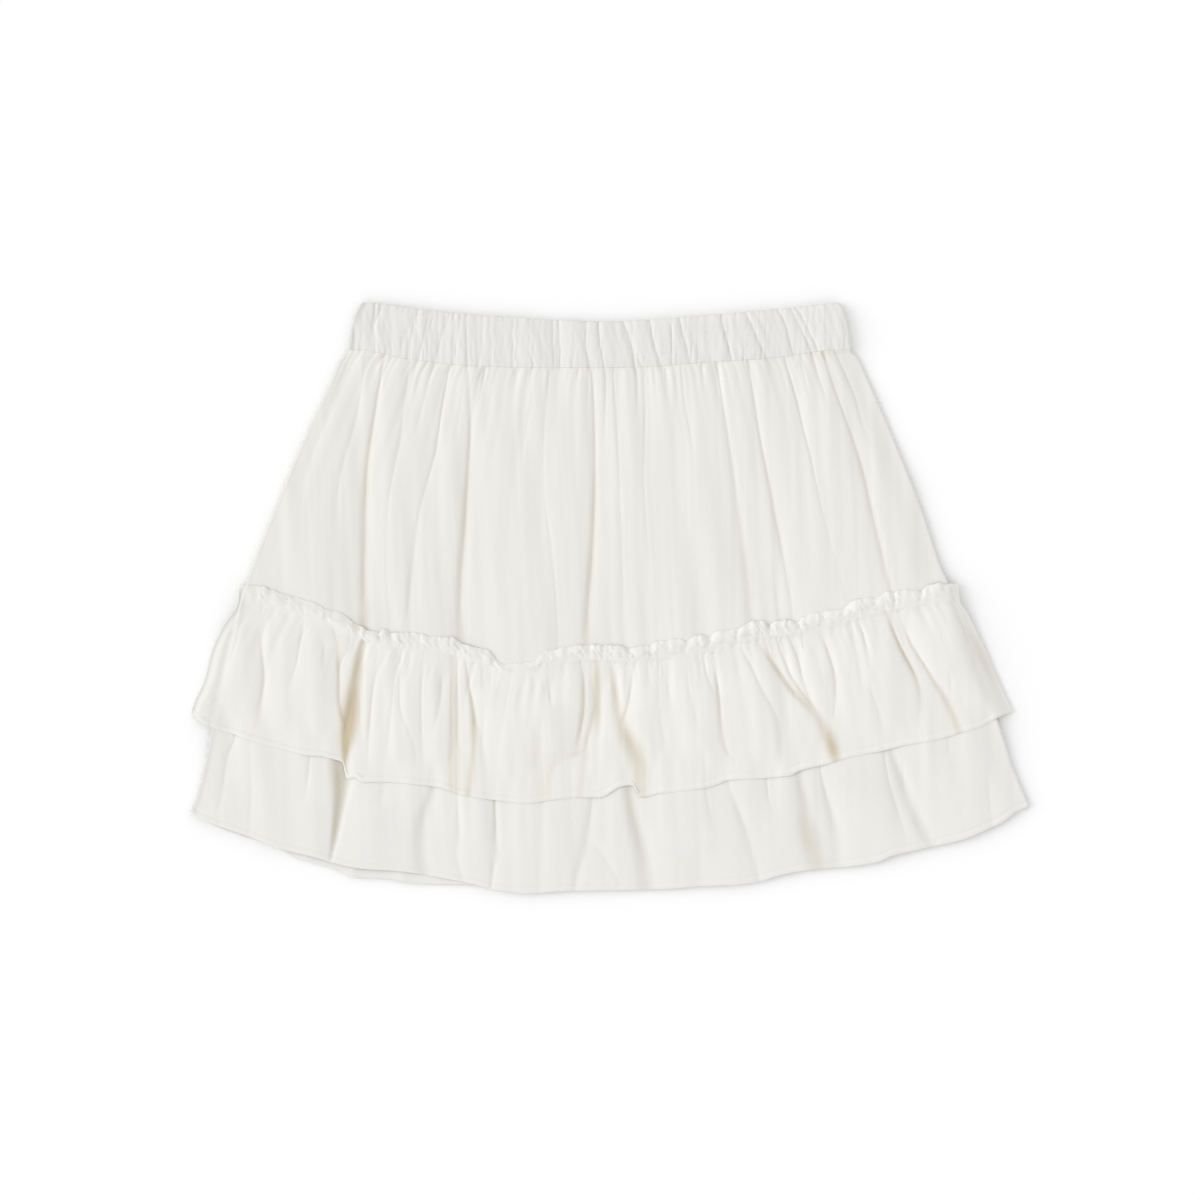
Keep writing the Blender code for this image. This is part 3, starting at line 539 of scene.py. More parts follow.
folds = scattered_folds(3, 20, (-160, 146), (-168, 154), (190, 174, 158), (8, 7, 8), (12, 12, 12))
folds = Folds(folds, 2)
x, y, u, v = band.grid(band_rows[::2], 220, folds)
lowered = folds.at(x, y)[0] + puckered(x, v, 41) * BACK_PUCKERS
inner = rounded(from_sides(x, y, band_left, band_right), BACK_SIDES)
z = BAND_BACK_MID + np.maximum(lowered - BACK_FOLD_FROM, 0) * inner
lay_cloth("waistband_back", "waistband", (x, y, z), (u, v), BAND_WALL, BAND_CUT, casing_ivory,
          ["surface"])

# ---- Body ------------------------------------------------------------------------------------------
# Front and back panels of the same viscose, gathered into the waistband. The gathers run down as
# long soft folds, narrow and crisp under the seam and wider below.
TIER_SEAM = [(-256, -46), (-207, -54), (-150, -70), (-74, -84), (-10, -84), (60, -76), (126, -64),
             (196, -49), (244, -44)]
BACK_HEADING = [(-247, 5.3), (-180, -10), (-100, -27), (-7, -33), (80, -22), (160, -4), (231.7, 9.3)]
BACK_RUFFLE_HEM = [(-279.3, -76), (-265, -86), (-220, -99), (-150, -118), (-60, -131), (20, -129),
                   (110, -118), (190, -100), (240, -87), (268.3, -76)]
SKIRT_LEFT = [(-174.3, 165.3), (-180.3, 157.3), (-187, 142), (-207, 98.7), (-220.3, 66.7),
              (-233.7, 33.3), (-243, 8), (-248, -10), (-256, -46), (-265, -86), (-270.3, -111.3),
              (-276.3, -134.7), (-279.3, -141.3)]
SKIRT_RIGHT = [(160.3, 165.3), (165.5, 158.7), (170, 148.7), (180.5, 125.3), (193, 95.3),
               (206.3, 62), (221, 18.7), (225.5, 8.7), (231, -10), (242.5, -44), (257, -80),
               (261, -91.3), (269, -114.7), (279.3, -138.7)]
# Its cut and length, and how thick cloth one layer thick is.
BODY_CUT, BODY_LONG, CLOTH_WALL = (0.56, 0.245), 240, 0.4
# Heights: the back's, then the front's middle, its lowest folds and its side edges.
BACK_MID, FRONT_REST, FRONT_LOW, FRONT_EDGE = 0.3, 5.2, 2.5, 1
# How much lower the front lies at its right side, how far in from it that starts, and how much more
# it does so from this Y upwards.
RIGHT_DROOP, RIGHT_RUN, DROOP_MORE, MORE_FROM, MORE_RUN = 2.2, 26, 0.4, 80, 50
# The same heights where they lie on the back's upper ruffle, and how much flatter folds are there.
BACK_ON_RUFFLE, BACK_ON_RUFFLE_EDGE = 3.4, 2.2
FRONT_ON_RUFFLE, FRONT_ON_RUFFLE_LOW, FRONT_ON_RUFFLE_EDGE, FOLDS_PRESSED = 6.6, 4.6, 3.2, 0.25
# How far above that ruffle's heading the back and the front start to climb onto it, and over what
# run. How far below its hem they start to drop, and over what run.
BACK_CLIMB_START, BACK_CLIMB, FRONT_CLIMB_START, FRONT_CLIMB = 14, 12, 22, 40
DROP_START, BACK_DROP, FRONT_DROP = 1.5, 12, 30
# From what depth the folds of the other back pieces raise them off the surface.
GROOVE_TRIM = 0.15
# Over what run the front comes down from the casing's height to its own.
WAIST_RISE_RUN = 18
# How far the body is tucked under the casing, how much lower it lies there, over what run it comes
# up to the casing, its thickness there, and over what run that grows.
TUCK, TUCK_DROP, SEAM_RUN, TUCK_WALL, TUCK_WALL_RUN = 1.2, 0.15, 2.6, 0.12, 3
# How far below the waist seam the turned edges inside reach, over what run they end, and how much
# they raise the cloth.
TURNINGS_REACH, TURNINGS_END, TURNINGS_RAISE = 8, 1.4, 0.35
# How strongly painted shade darkens its folds, how much more so under the waist seam, how much the
# gathers add there, how much less the whole gets there, and how far down that reaches. How far in
# from its left side painted shade reaches.
BODY_PAINTED_SHADE, SEAM_PAINTED_SHADE, GATHER_PAINTED_SHADE, SEAM_PALER, SEAM_SHADE_REACH = 0.85, 0.9, 1.1, 0.3, 7
BODY_SHADE_REACH = 1.6
# The gathers under the waist seam, from fine ones to the few that run far down.
WAIST_GATHERS = [(51, 2.2, 0.5, 26, 0.6, 30), (52, 5, 0.6, 60, 1.2, 20), (54, 8, 0.7, 50, 2.4, 20),
                 (55, 9, 1.3, 5, 0.8, 30), (53, 9, 0.4, 170, 1.6, 25)]
BODY_FOLDS = [
    [(-177, 151, 2, 15), (-192, 112, 3, 25), (-204, 83, 4, 35), (-209, 45, 0, 50)],
    [(-163.5, 162, 6, 9), (-165.7, 141, 6, 11), (-171.7, 112, 7, 17), (-180.3, 86, 8, 24),
     (-183, 66, 6, 30), (-185, 40, 0, 40)],
    [(-151, 164, 10, 9), (-156.3, 129, 15, 11), (-160.7, 105, 20, 16), (-163.3, 86, 23, 21),
     (-164.3, 45, 21, 27), (-165.7, -3, 21, 32), (-162.5, -18, 26, 26), (-168, -40, 24, 40),
     (-173, -80, 22, 50)],
    [(-142, 161, 5, 8), (-143.5, 148, 0, 8)],
    [(-134, 159, 4, 8), (-137, 135, 6, 8), (-141, 101, 9, 10), (-145.7, 83, 7, 11),
     (-148.3, 66, 5, 12), (-150, 45, 3, 14), (-150.3, 18, 4, 16), (-147.7, -14, 5, 18)],
    [(-130, 158, 4, 8), (-133, 140, 5, 9), (-138, 118, 0, 12)],
    [(-118, 158, 5, 8), (-123, 135, 4, 9), (-128, 118, 5, 10), (-130, 104, 0, 12)],
    [(-107, 157, 9, 8), (-112.3, 129, 13, 9), (-116.3, 101, 14, 12), (-118.7, 87, 10, 13),
     (-126, 69, 6, 16), (-131.7, 33, 10, 22), (-135.3, -3, 11, 24), (-137.7, -24, 10, 26)],
    [(-97.7, 143, 2, 8), (-101.7, 119, 5, 10), (-103.5, 100, 0, 13)],
    [(-96.3, 156, 7, 8), (-94, 135, 8, 9), (-92.7, 118, 13, 12), (-94.3, 105, 17, 15),
     (-95.7, 86, 21, 18), (-97.7, 47, 22, 22), (-100, 25, 21, 26), (-101.3, 5, 20, 30),
     (-101.5, -24, 20, 36), (-103, -80, 14, 45)],
    [(-84, 156, 9, 8), (-85, 145, 10, 8), (-86.3, 137, 7, 9), (-88.5, 122, 0, 11)],
    [(-64.3, 155, 8, 7), (-63.7, 146, 7, 7), (-63.7, 136, 0, 8)],
    [(-53, 155, 9, 7), (-53.3, 145, 7, 7), (-54.3, 135, 0, 8)],
    [(-53.5, 130, 0, 10), (-55.7, 119, 5, 11), (-58, 105, 5, 13), (-60, 88, 0, 18)],
    [(-41.7, 155, 3, 8), (-42, 137, 4, 9), (-45.7, 107, 5, 10), (-45, 75, 4, 10), (-43, 54, 5, 11),
     (-39, 25, 6, 12), (-37, 3, 6, 13), (-35.7, -26, 6, 14)],
    [(-22.5, 154, 7, 7), (-22, 144, 0, 8)],
    [(-13.7, 155, 10, 8), (-11.7, 137, 13, 10), (-11, 112, 15, 13), (-11, 83, 16, 16),
     (-11.7, 54, 18, 19), (-13, 25, 20, 23), (-14.6, 11, 21, 25), (-16.7, -11, 21, 28),
     (-17.7, -30, 22, 30), (-12, -80, 16, 34)],
    [(-5, 155, 9, 7), (-3.7, 143, 8, 8), (-4.3, 117, 5, 9), (-5, 98, 0, 12)],
    [(1, 152, 7, 8), (3, 125, 9, 10), (4.3, 102, 8, 15), (5.5, 63, 7, 19), (7, 41, 7, 22),
     (7, 17, 7, 24), (7, -13, 8, 26), (7.7, -34, 9, 28)],
    [(15.7, 155, 9, 7), (17, 135, 7, 8), (16.3, 110, 0, 11)],
    [(21.7, 154, 6, 7), (22.7, 125, 8, 9), (21.7, 102, 8, 10), (21.7, 79, 7, 11), (23.7, 41, 5, 13),
     (25.3, 17, 3, 15), (26.3, -18, 2, 20)],
    [(33, 154, 8, 7), (34.3, 145, 6, 7), (36.3, 133, 0, 8)],
    [(46.3, 155, 5, 7), (49, 128, 7, 8), (52.3, 113, 5, 10), (54.5, 88, 0, 13)],
    [(60, 156, 4, 7), (61, 145, 3, 8), (62, 132, 0, 8)],
    [1.6, (70.3, 157, 10, 8), (75, 125, 10, 10), (79, 97, 9, 16), (83.7, 63, 11, 26),
     (87.3, 30, 14, 40), (89.7, 17, 14, 42), (91.7, -5, 12, 38), (93, -20, 10, 36)],
    [(91, 158, 9, 8), (95, 133, 11, 10), (98, 113, 12, 12), (101, 94, 14, 15), (104.3, 82, 15, 18),
     (107, 63, 15, 19), (110.3, 48, 14, 20), (113.4, 33, 12, 21), (116.3, 17, 10, 22),
     (120, -8, 8, 24)],
    [(106, 34, 0, 20), (109, 5, 8, 30), (111.5, -14, 8, 30)],
    [(104, 159, 4, 8), (108, 143, 4, 9), (112, 130, 0, 10)],
    [(115, 161, 11, 8), (120.3, 143, 13, 9), (125, 125, 12, 10), (128.7, 109, 11, 11),
     (134.8, 85, 9, 12), (137.7, 69, 7, 13), (141, 56, 4, 14), (145.7, 36, 3, 18), (151, 17, 3, 22),
     (156.3, 0, 2, 24)],
    [(126, 161, 5, 8), (129.7, 142, 5, 8), (134, 128, 0, 10)],
    [(133, 163, 10, 8), (139.7, 143, 7, 8), (144.5, 130, 0, 9)],
    [(140.5, 165, 13, 8), (144, 152, 15, 9), (148.3, 140, 15, 11), (153, 128, 14, 12),
     (157.7, 114, 14, 14), (162.3, 102, 15, 16), (167, 87, 16, 19), (172.3, 61, 16, 22),
     (179, 33, 15, 26), (182.3, 17, 14, 28), (187, 0, 13, 30)],
    [(148.5, 165, 11, 8), (157.7, 145, 13, 9), (162.3, 134, 10, 10), (168.3, 111, 5, 12),
     (173, 102, 0, 14)],
]
skirt_left, skirt_right = side(SKIRT_LEFT), side(SKIRT_RIGHT)
waist_seam, tier_seam = curve(WAIST_SEAM), curve(TIER_SEAM)
back_heading, back_ruffle_hem = curve(BACK_HEADING), curve(BACK_RUFFLE_HEM)


def in_skirt(x, y):
    """0 at the skirt's sides and 1 in from them, past their round."""
    return rounded(from_sides(x, y, skirt_left, skirt_right))


def on_back_ruffle(x, y, start, climb, drop):
    """1 where the cloth lies over the back's upper ruffle, and 0 where it lies lower."""
    risen = ramp(back_heading(x) + start - y, climb)
    return risen * (1 - ramp(back_ruffle_hem(x) - DROP_START - y, drop))


def back_height(x, y, lowered):
    """The back's body and lower tier: on the surface, or on the back's upper ruffle."""
    over = on_back_ruffle(x, y, BACK_CLIMB_START, BACK_CLIMB, BACK_DROP)
    edge = mixed(BACK_MID, BACK_ON_RUFFLE_EDGE, over)
    full = mixed(BACK_MID, BACK_ON_RUFFLE, over) + np.maximum(lowered - GROOVE_TRIM, 0) * (1 - over)
    return mixed(edge, full, in_skirt(x, y))


def front_height(x, y, lowered, rest):
    """The front's body and lower tier, over the back and over both back layers."""
    over = on_back_ruffle(x, y, FRONT_CLIMB_START, FRONT_CLIMB, FRONT_DROP)
    high = on_back_ruffle(x, y, FRONT_CLIMB_START, FRONT_CLIMB / 2, FRONT_DROP / 2)
    droop = RIGHT_DROOP * (1 + DROOP_MORE * ramp(y - MORE_FROM, MORE_RUN))
    level = mixed(rest, FRONT_ON_RUFFLE, over)
    level -= droop * (1 - ramp(skirt_right(y) - x, RIGHT_RUN)) ** 1.3
    lowest = mixed(FRONT_LOW, FRONT_ON_RUFFLE_LOW, high)
    full = kept_over(level - lowered * (1 - FOLDS_PRESSED * over), lowest)
    return mixed(mixed(FRONT_EDGE, FRONT_ON_RUFFLE_EDGE, over), full, in_skirt(x, y))


# The body's ivory, and its darker second colour: painted shade for the floors of its folds.
ivory = crinkled_viscose("viscose_crepe_ivory", "E4E2DD", "C2B8A0")
body_folds = Folds(BODY_FOLDS, 3)


def body_height(x, y, fine):
    """The front of the body with its fine gathers, and how deep in the folds' shade it lies."""
    below = waist_seam(x) - y
    lowered, shade = body_folds.at(x, y)
    inner = in_skirt(x, y)
    rest = mixed(BAND_REST, FRONT_REST, ramp(below, WAIST_RISE_RUN))
    z = front_height(x, y, lowered + fine, rest) + rumpled(x, y, WAVES, 5) * inner
    z += TURNINGS_RAISE * (1 - ramp(below - TURNINGS_REACH, TURNINGS_END)) * inner
    at_casing = np.interp(x, seam_at, seam_height) - TUCK_DROP
    return mixed(z, at_casing, 1 - ramp(below, SEAM_RUN)), shade


body = Panel([(0, moved(WAIST_SEAM, TUCK)), (1, moved(TIER_SEAM, -0.2))], SKIRT_LEFT, SKIRT_RIGHT)
body_rows = [0, 0.002, 0.005, 0.0095, *np.linspace(0.014, 1, 92)]
x, y, u, v = body.grid(body_rows, 470, body_folds)
fine = gathered(WAIST_GATHERS, WAIST_ENDS, body.plan(u, 0)[0], v * BODY_LONG)
z, shade = body_height(x, y, fine)
# Painted shade in its folds, stronger at the gathers under the waist seam, and at its left side.
by_seam = close_to(waist_seam(x) - y, SEAM_SHADE_REACH)
crease = painted_fold_shade(BODY_PAINTED_SHADE * shade * (1 + SEAM_PAINTED_SHADE * by_seam) + GATHER_PAINTED_SHADE * fine * by_seam)
crease *= 1 - SEAM_PALER * by_seam
walls = mixed(TUCK_WALL, CLOTH_WALL, ramp(v * BODY_LONG - TUCK, TUCK_WALL_RUN))
lay_cloth("skirt_front", "body", (x, y, z), (u, v), walls, BODY_CUT, ivory, ["skirt_back"],
          crease=crease, turned=painted_side_shade_at(x, y, skirt_left, BODY_SHADE_REACH))

folds = scattered_folds(5, 18, (-166, 152), (-240, 228), (160, 60, -20), (11, 10, 8), (15, 30, 40))
folds = Folds(folds, 4)
x, y, u, v = body.grid(np.linspace(0, 1, 70), 220, folds)
z = back_height(x, y, folds.at(x, y)[0])
lay_cloth("skirt_back", "body", (x, y, z), (u, v), CLOTH_WALL, BODY_CUT, ivory,
          ["surface", "ruffle_upper_back"])

# ---- Lower tier ------------------------------------------------------------------------------------
# A deep frill sewn to the body's lower edge, under the upper ruffle. Its hem is turned twice and
# stitched, and at the left the back's hem hangs out below the front's.
FRONT_HEM = [(-279.3, -141.3), (-277, -144.7), (-271.7, -147.6), (-243.7, -157.6), (-217, -167.6),
             (-193.7, -173.3), (-185.7, -176), (-167, -180), (-140.3, -182), (-110.3, -186.7),
             (-90.3, -190.7), (-73.7, -194.7), (-53.7, -196.7), (-33.7, -195.3), (-7, -194.7),
             (33, -194), (59.7, -192), (86.3, -190.7), (99.7, -188.7), (113, -184.7), (126.3, -182),
             (159.7, -178.7), (179.7, -175.3), (186.3, -172), (206.3, -167.3), (233, -161.3),
             (249.7, -154.7), (263, -148), (269.7, -142.7), (279.3, -138.7)]
BACK_HEM = [(-279.3, -141.3), (-277, -144.7), (-271.7, -148), (-257, -154.7), (-240.3, -160),
            (-220.3, -166.7), (-213.7, -171.3), (-200.3, -175.3), (-180.3, -181.3), (-170.3, -186),
            (-150.3, -186.7), (-130.3, -190), (-100.3, -190.7), (-80, -191), (-50, -192), (0, -191),
            (60, -188), (110, -182), (160, -175), (210, -163), (250, -151), (279.3, -138.7)]
TIER_CUT, TIER_LONG = (0.62, 0.124), 112
# Its front's height, how much lower it lies towards its hem, and from what share of the way down.
# From what share its waves get flatter, and by how much.
TIER_REST, TIER_SETTLE, SETTLE_FROM, FLATTER_FROM, FLATTER = 5.4, 1, 0.55, 0.5, 0.6
# How much lower it lies at its top seam, and over what share of the way down it comes up.
SEWN_LOWER, SEWN_RUN = 1, 0.05
# How tall its turned hem is. Hems, the heading and the casing are folded double.
TIER_HEM, DOUBLE_WALL = 3.8, 0.6
# The cloth's thickness at a hem's pressed edge and a little above it, and how far up from the edge
# that is and the double cloth starts.
PRESSED_WALLS, PRESSED_UP = (0.15, 0.4), (0.6, 1.2)
# How deep and wide the hem's stitches pull, how unevenly, and how its pressed edge rolls down.
STITCH_PULL, PULL_WIDE, PULL_CHANGE, HEM_ROLL, HEM_ROLL_WIDE = 0.2, 0.55, 0.5, 0.1, 0.4
# How strongly painted shade darkens its folds, and how far in from its left side painted shade reaches.
TIER_PAINTED_SHADE, TIER_SHADE_REACH = 0.7, 2.6
# Where the back's hem hangs out below the front's, how wide, and how much it is raised there, from
# what share of the way down and over what run.
PEEK_AT, PEEK_WIDE, PEEK_RAISE, PEEK_FROM, PEEK_RUN = -150, 85, 1.5, 0.88, 0.08
TIER_FOLDS = [
    [(-250.3, -94, 10, 14), (-255.7, -106, 10, 18), (-259.2, -129, 8, 22), (-262, -143, 3, 25)],
    [(-240.3, -111, 3, 12), (-239.7, -131, 5, 14), (-240.3, -144, 4, 14), (-241, -156, 2, 15)],
    [(-200, -98, 10, 9), (-200.5, -106, 10, 9), (-201.7, -118, 9, 9), (-203, -129, 4, 10),
     (-205, -140, 0, 12)],
    [3.0, (-180.5, -105, 34, 64), (-180, -121, 40, 54), (-181, -135, 40, 38),
     (-183.5, -155, 36, 22), (-186, -170, 26, 14), (-187, -176, 5, 10)],
    [(-150.7, -122, 5, 12), (-152.5, -131, 6, 13), (-155, -140, 0, 15)],
    [1.8, (-117, -120, 14, 34), (-121.9, -135, 18, 40), (-127, -150, 20, 46),
     (-127.7, -167, 20, 48), (-125, -184, 18, 48)],
    [(-103, -130, 10, 20), (-101.7, -157, 11, 26), (-104.3, -169, 10, 28), (-99.3, -187, 8, 30)],
    [(-77.7, -130, 24, 13), (-77.4, -153, 21, 14), (-77.4, -168, 17, 15), (-79.3, -183, 13, 16),
     (-80.3, -194, 9, 16)],
    [(-48, -132, 7, 40), (-48.5, -160, 8, 45), (-49, -195, 7, 45)],
    [(-12.3, -130, 13, 24), (-15.7, -153, 15, 29), (-17.4, -163, 15, 30), (-20, -172, 15, 32),
     (-23.7, -186, 13, 34), (-25, -194, 11, 34)],
    [(-13, -160, 0, 15), (-11, -164, 5, 20), (-3.4, -175, 6, 22), (4.3, -188, 5, 24)],
    [1.8, (10, -120, 26, 36), (12.5, -135, 26, 38), (14.8, -148, 25, 44), (18.8, -163, 24, 48),
     (21.3, -176, 23, 50), (23, -194, 22, 50)],
    [(63, -124, 9, 9), (64.9, -140, 8, 9), (66.7, -149, 4, 10), (68, -156, 0, 12)],
    [2.4, (55, -166, 0, 90), (56, -172, 7, 90), (57, -190, 8, 90)],
    [(76, -120, 10, 28), (83.3, -140, 14, 34), (88.3, -153, 14, 38), (93.5, -172, 13, 40),
     (97.3, -187, 11, 42)],
    [(102.5, -115, 12, 9), (104.2, -130, 10, 9), (105.7, -139, 5, 10), (107, -147, 0, 12)],
    [1.8, (123, -112, 20, 34), (126, -126, 24, 40), (128.4, -136, 26, 48), (130.2, -151, 28, 56),
     (133.4, -165, 28, 60), (137.4, -181, 26, 58)],
    [(138, -110, 15, 13), (141.3, -126, 16, 20), (144.3, -137, 17, 27), (147.6, -150, 18, 34),
     (149.4, -163, 17, 36), (149.8, -178, 14, 36)],
    [(180, -95, 10, 9), (185.7, -127, 11, 10), (191, -143, 9, 11), (194.7, -155, 4, 13),
     (198, -166, 0, 15)],
    [1.8, (184, -98, 15, 28), (192.5, -119, 20, 36), (197.3, -135, 22, 44), (203.7, -149, 21, 48),
     (210, -160, 18, 48), (214, -167, 15, 48)],
    [(224, -92, 9, 10), (224.2, -102, 7, 11), (225, -110, 0, 13)],
    [(249, -110, 0, 30), (251, -130, 8, 30), (253, -148, 7, 30)],
]


def hemmed(count, long, hem):
    """Rows down a piece: even ones, then closer ones over its turned hem."""
    start = 1 - hem / long
    over_hem = np.array([*np.linspace(-0.2, hem - 0.5, 7), hem - 0.12, hem])
    return np.concatenate([np.linspace(0, start - 0.8 / long, count), start + over_hem / long])


def hem_walls(v, long, hem):
    """The cloth's thickness, more on the hem folded under and thin at its pressed edge."""
    heights = [0, *PRESSED_UP, hem, hem + 0.2]
    return np.interp((1 - v) * long, heights, [*PRESSED_WALLS, DOUBLE_WALL, DOUBLE_WALL, CLOTH_WALL])


def hem_form(x, v, long, hem):
    """The hem's form: drawn down along its stitches, and rolled down at its folded edge."""
    up = (1 - v) * long
    pulled = STITCH_PULL * (1 + PULL_CHANGE * wavering(x, 4, 3.1))
    return -pulled * close_to(up - hem - 0.1, PULL_WIDE) - HEM_ROLL * close_to(up, HEM_ROLL_WIDE)


tier_folds = Folds(TIER_FOLDS, 5)
# The tier's ivory, and its darker second colour: painted shade for the floors of its folds.
tier_ivory = crinkled_viscose("viscose_crepe_tier_ivory", "E4E3DF", "C1B7A1")


def tier_height(x, y, v, folded=1):
    """The front of the lower tier, and how deep in its folds' shade it lies."""
    lowered, shade = tier_folds.at(x, y)
    inner = in_skirt(x, y)
    rest = TIER_REST - TIER_SETTLE * ramp(v - SETTLE_FROM, 1 - SETTLE_FROM)
    waves = rumpled(x, y, WAVES, 9) * inner * (1 - FLATTER * ramp(v - FLATTER_FROM, 1 - FLATTER_FROM))
    return front_height(x, y, lowered * folded, rest) + waves, shade


tier = Panel([(0, moved(TIER_SEAM, 0.6)), (1, FRONT_HEM)], SKIRT_LEFT, SKIRT_RIGHT)
x, y, u, v = tier.grid(hemmed(66, TIER_LONG, TIER_HEM), 430, tier_folds)
z, shade = tier_height(x, y, v)
z += hem_form(x, v, TIER_LONG, TIER_HEM) - SEWN_LOWER * (1 - ramp(v, SEWN_RUN))
walls = hem_walls(v, TIER_LONG, TIER_HEM)
lay_cloth("ruffle_lower_front", "ruffle", (x, y, z), (u, v), walls, TIER_CUT, tier_ivory,
          ["ruffle_lower_back"], crease=painted_fold_shade(TIER_PAINTED_SHADE * shade),
          turned=painted_side_shade_at(x, y, skirt_left, TIER_SHADE_REACH))

back_tier = Panel([(0, moved(TIER_SEAM, 0.6)), (1, BACK_HEM)], SKIRT_LEFT, SKIRT_RIGHT)
folds = scattered_folds(
    11, 14, (-250, 238), (-270, 270), (-50, -110, -185), (4, 10, 11.5), (25, 35, 40)
)
folds = Folds(folds, 6)
x, y, u, v = back_tier.grid(hemmed(40, TIER_LONG, TIER_HEM), 220, folds)
peeking = np.exp(-(np.abs((x - PEEK_AT) / PEEK_WIDE) ** 4)) * ramp(v - PEEK_FROM, PEEK_RUN)
z = back_height(x, y, folds.at(x, y)[0]) + PEEK_RAISE * peeking
walls = (hem_walls(v, TIER_LONG, TIER_HEM) + CLOTH_WALL) / 2
lay_cloth("ruffle_lower_back", "ruffle", (x, y, z), (u, v), walls, TIER_CUT, tier_ivory,
          ["surface", "ruffle_upper_back"])

# ---- Upper ruffle ----------------------------------------------------------------------------------
# A strip gathered on one row of stitches a little below its folded top edge, which stands up as a
# frilled heading. It lies over the body and the top of the lower tier, and its hem is turned twice.
HEADING_TOP = [(-247, 5.3), (-243.7, 8), (-236.3, 8.4), (-227, 6), (-217, 2.4), (-207, -0.3),
               (-200.3, -2), (-192.3, -5.3), (-189.7, -7.6), (-182.3, -8.6), (-177, -11.3),
               (-173, -15.3), (-168.3, -17.3), (-164.3, -19.8), (-157, -22.6), (-153, -22.6),
               (-151, -20.6), (-147.7, -22), (-146.3, -23.6), (-140.3, -22.6), (-132.3, -22.6),
               (-125.7, -24), (-120.3, -25.6), (-107, -26), (-101.7, -28), (-98.3, -30.6),
               (-93.7, -32), (-87, -33.3), (-81.7, -34.6), (-78.3, -37.3), (-75.7, -42),
               (-72.3, -44), (-63.7, -43.3), (-53.7, -42.6), (-48.3, -41.3), (-46.3, -36.6),
               (-43.7, -35.3), (-36.3, -34), (-32.3, -33), (-25.7, -32), (-18.3, -31.3),
               (-12.3, -31.3), (-3.7, -31.3), (6.3, -31.6), (11.7, -33.3), (19.7, -32.3),
               (26.3, -31.3), (30.3, -29.3), (37, -28), (46.3, -27.3), (50.3, -29), (53.7, -26.3),
               (59.7, -24.3), (66.3, -25.3), (68.3, -23.3), (73, -22), (84.3, -20.3), (89.7, -17.3),
               (96.3, -15.3), (102.3, -15.6), (105, -18), (109, -16), (116.3, -14.6),
               (123.7, -15.6), (129.7, -12.6), (136.3, -10), (146.3, -8.6), (151.7, -8.3),
               (156.3, -5.3), (163, -1.6), (169.7, 0), (178.3, 0.4), (183, 3.4), (191, 4.7),
               (203, 5.4), (207, 4), (209, 7), (213, 8.7), (219.7, 9.7), (231.7, 9.3)]
STITCH_LINE = [(-247.5, -3), (-230.3, -4.5), (-207, -10.5), (-187, -18), (-177, -23), (-153.7, -31),
               (-133.7, -34), (-113.7, -35.5), (-97, -40.3), (-80.3, -44.5), (-67, -50), (-47, -49),
               (-33.7, -42.3), (-13.7, -41), (9.7, -42), (33, -39.6), (59.7, -36), (83, -29),
               (103, -25.7), (126.3, -23.7), (149.7, -17.5), (173, -11), (196.3, -6), (216.3, -2.5),
               (232.3, -0.8)]
RUFFLE_HEM = [(-279.3, -76), (-273.7, -81.3), (-265, -86), (-252.3, -90), (-239, -94.7),
              (-220.3, -100), (-200.3, -104.7), (-192.3, -105.3), (-183.7, -107.3),
              (-178.3, -109.2), (-176.8, -114.7), (-175.3, -120.3), (-170, -119.3),
              (-164.5, -122.7), (-153.7, -122.3), (-133.7, -123.6), (-113.7, -126), (-97, -131.3),
              (-80.3, -134), (-53.7, -136.7), (-40.3, -134.7), (-20.3, -132.7), (-7, -132.7),
              (7.7, -125.3), (14.3, -124.5), (19.7, -132.7), (33, -130), (53, -128), (69.7, -124.7),
              (78.3, -121.3), (99.7, -120), (119.7, -118), (126.3, -114.7), (146.3, -110),
              (159.7, -106), (179.7, -102), (196.3, -98), (213, -95.3), (233, -90), (246.3, -86),
              (259.7, -78.7), (268.3, -76)]
BACK_STITCH = [(-247.5, -3), (-180, -20), (-100, -37), (-7, -43), (80, -32), (160, -14),
               (232.3, -0.8)]
RUFFLE_LEFT = [(-247, 5.3), (-247.5, -3), (-257, -18), (-265, -34.7), (-270.3, -54.7),
               (-276.3, -68), (-279.3, -76)]
RUFFLE_RIGHT = [(231.7, 9.3), (232.3, -0.8), (238.3, -11.3), (249.7, -34.7), (259.7, -58),
                (268.3, -76)]
RUFFLE_CUT, RUFFLE_LONG, RUFFLE_HEM_TALL = (0.64, 0.112), 105, 3.6
# What share of the way down its row of stitches is, how long a stitch is, how unevenly they lie, in
# radians, and how high and wide the cloth swells between two of them.
STITCH_AT, STITCH_LONG, STITCH_STRAY, STITCH_SWELL, SWELL_WIDE = 0.12, 2.6, 2, 0.1, 0.8
# The ruffle's height where it is sewn down, in its middle and at its hem, and over what run it rises.
RUFFLE_SEWN, RUFFLE_MIDDLE, RUFFLE_AT_HEM, RUFFLE_RISE = 7.6, 9.8, 7, 34
# How full the heading is, how far its top edge stands up and settles again, and how far it strays
# along Y and is drawn down at its tucks. How far that edge rolls down, over what share of the way.
HEADING_FULL, HEADING_LIFT, HEADING_SETTLE, HEADING_STRAY, TUCK_DRAWN = 0.5, 0.39, 1.5, 1, 0.5
HEADING_ROLL, HEADING_ROLL_WIDE = 0.3, 0.004
# By what share its fullness changes along it, and by how much its lift does.
FULL_CHANGE, LIFT_CHANGE = 0.6, 0.715
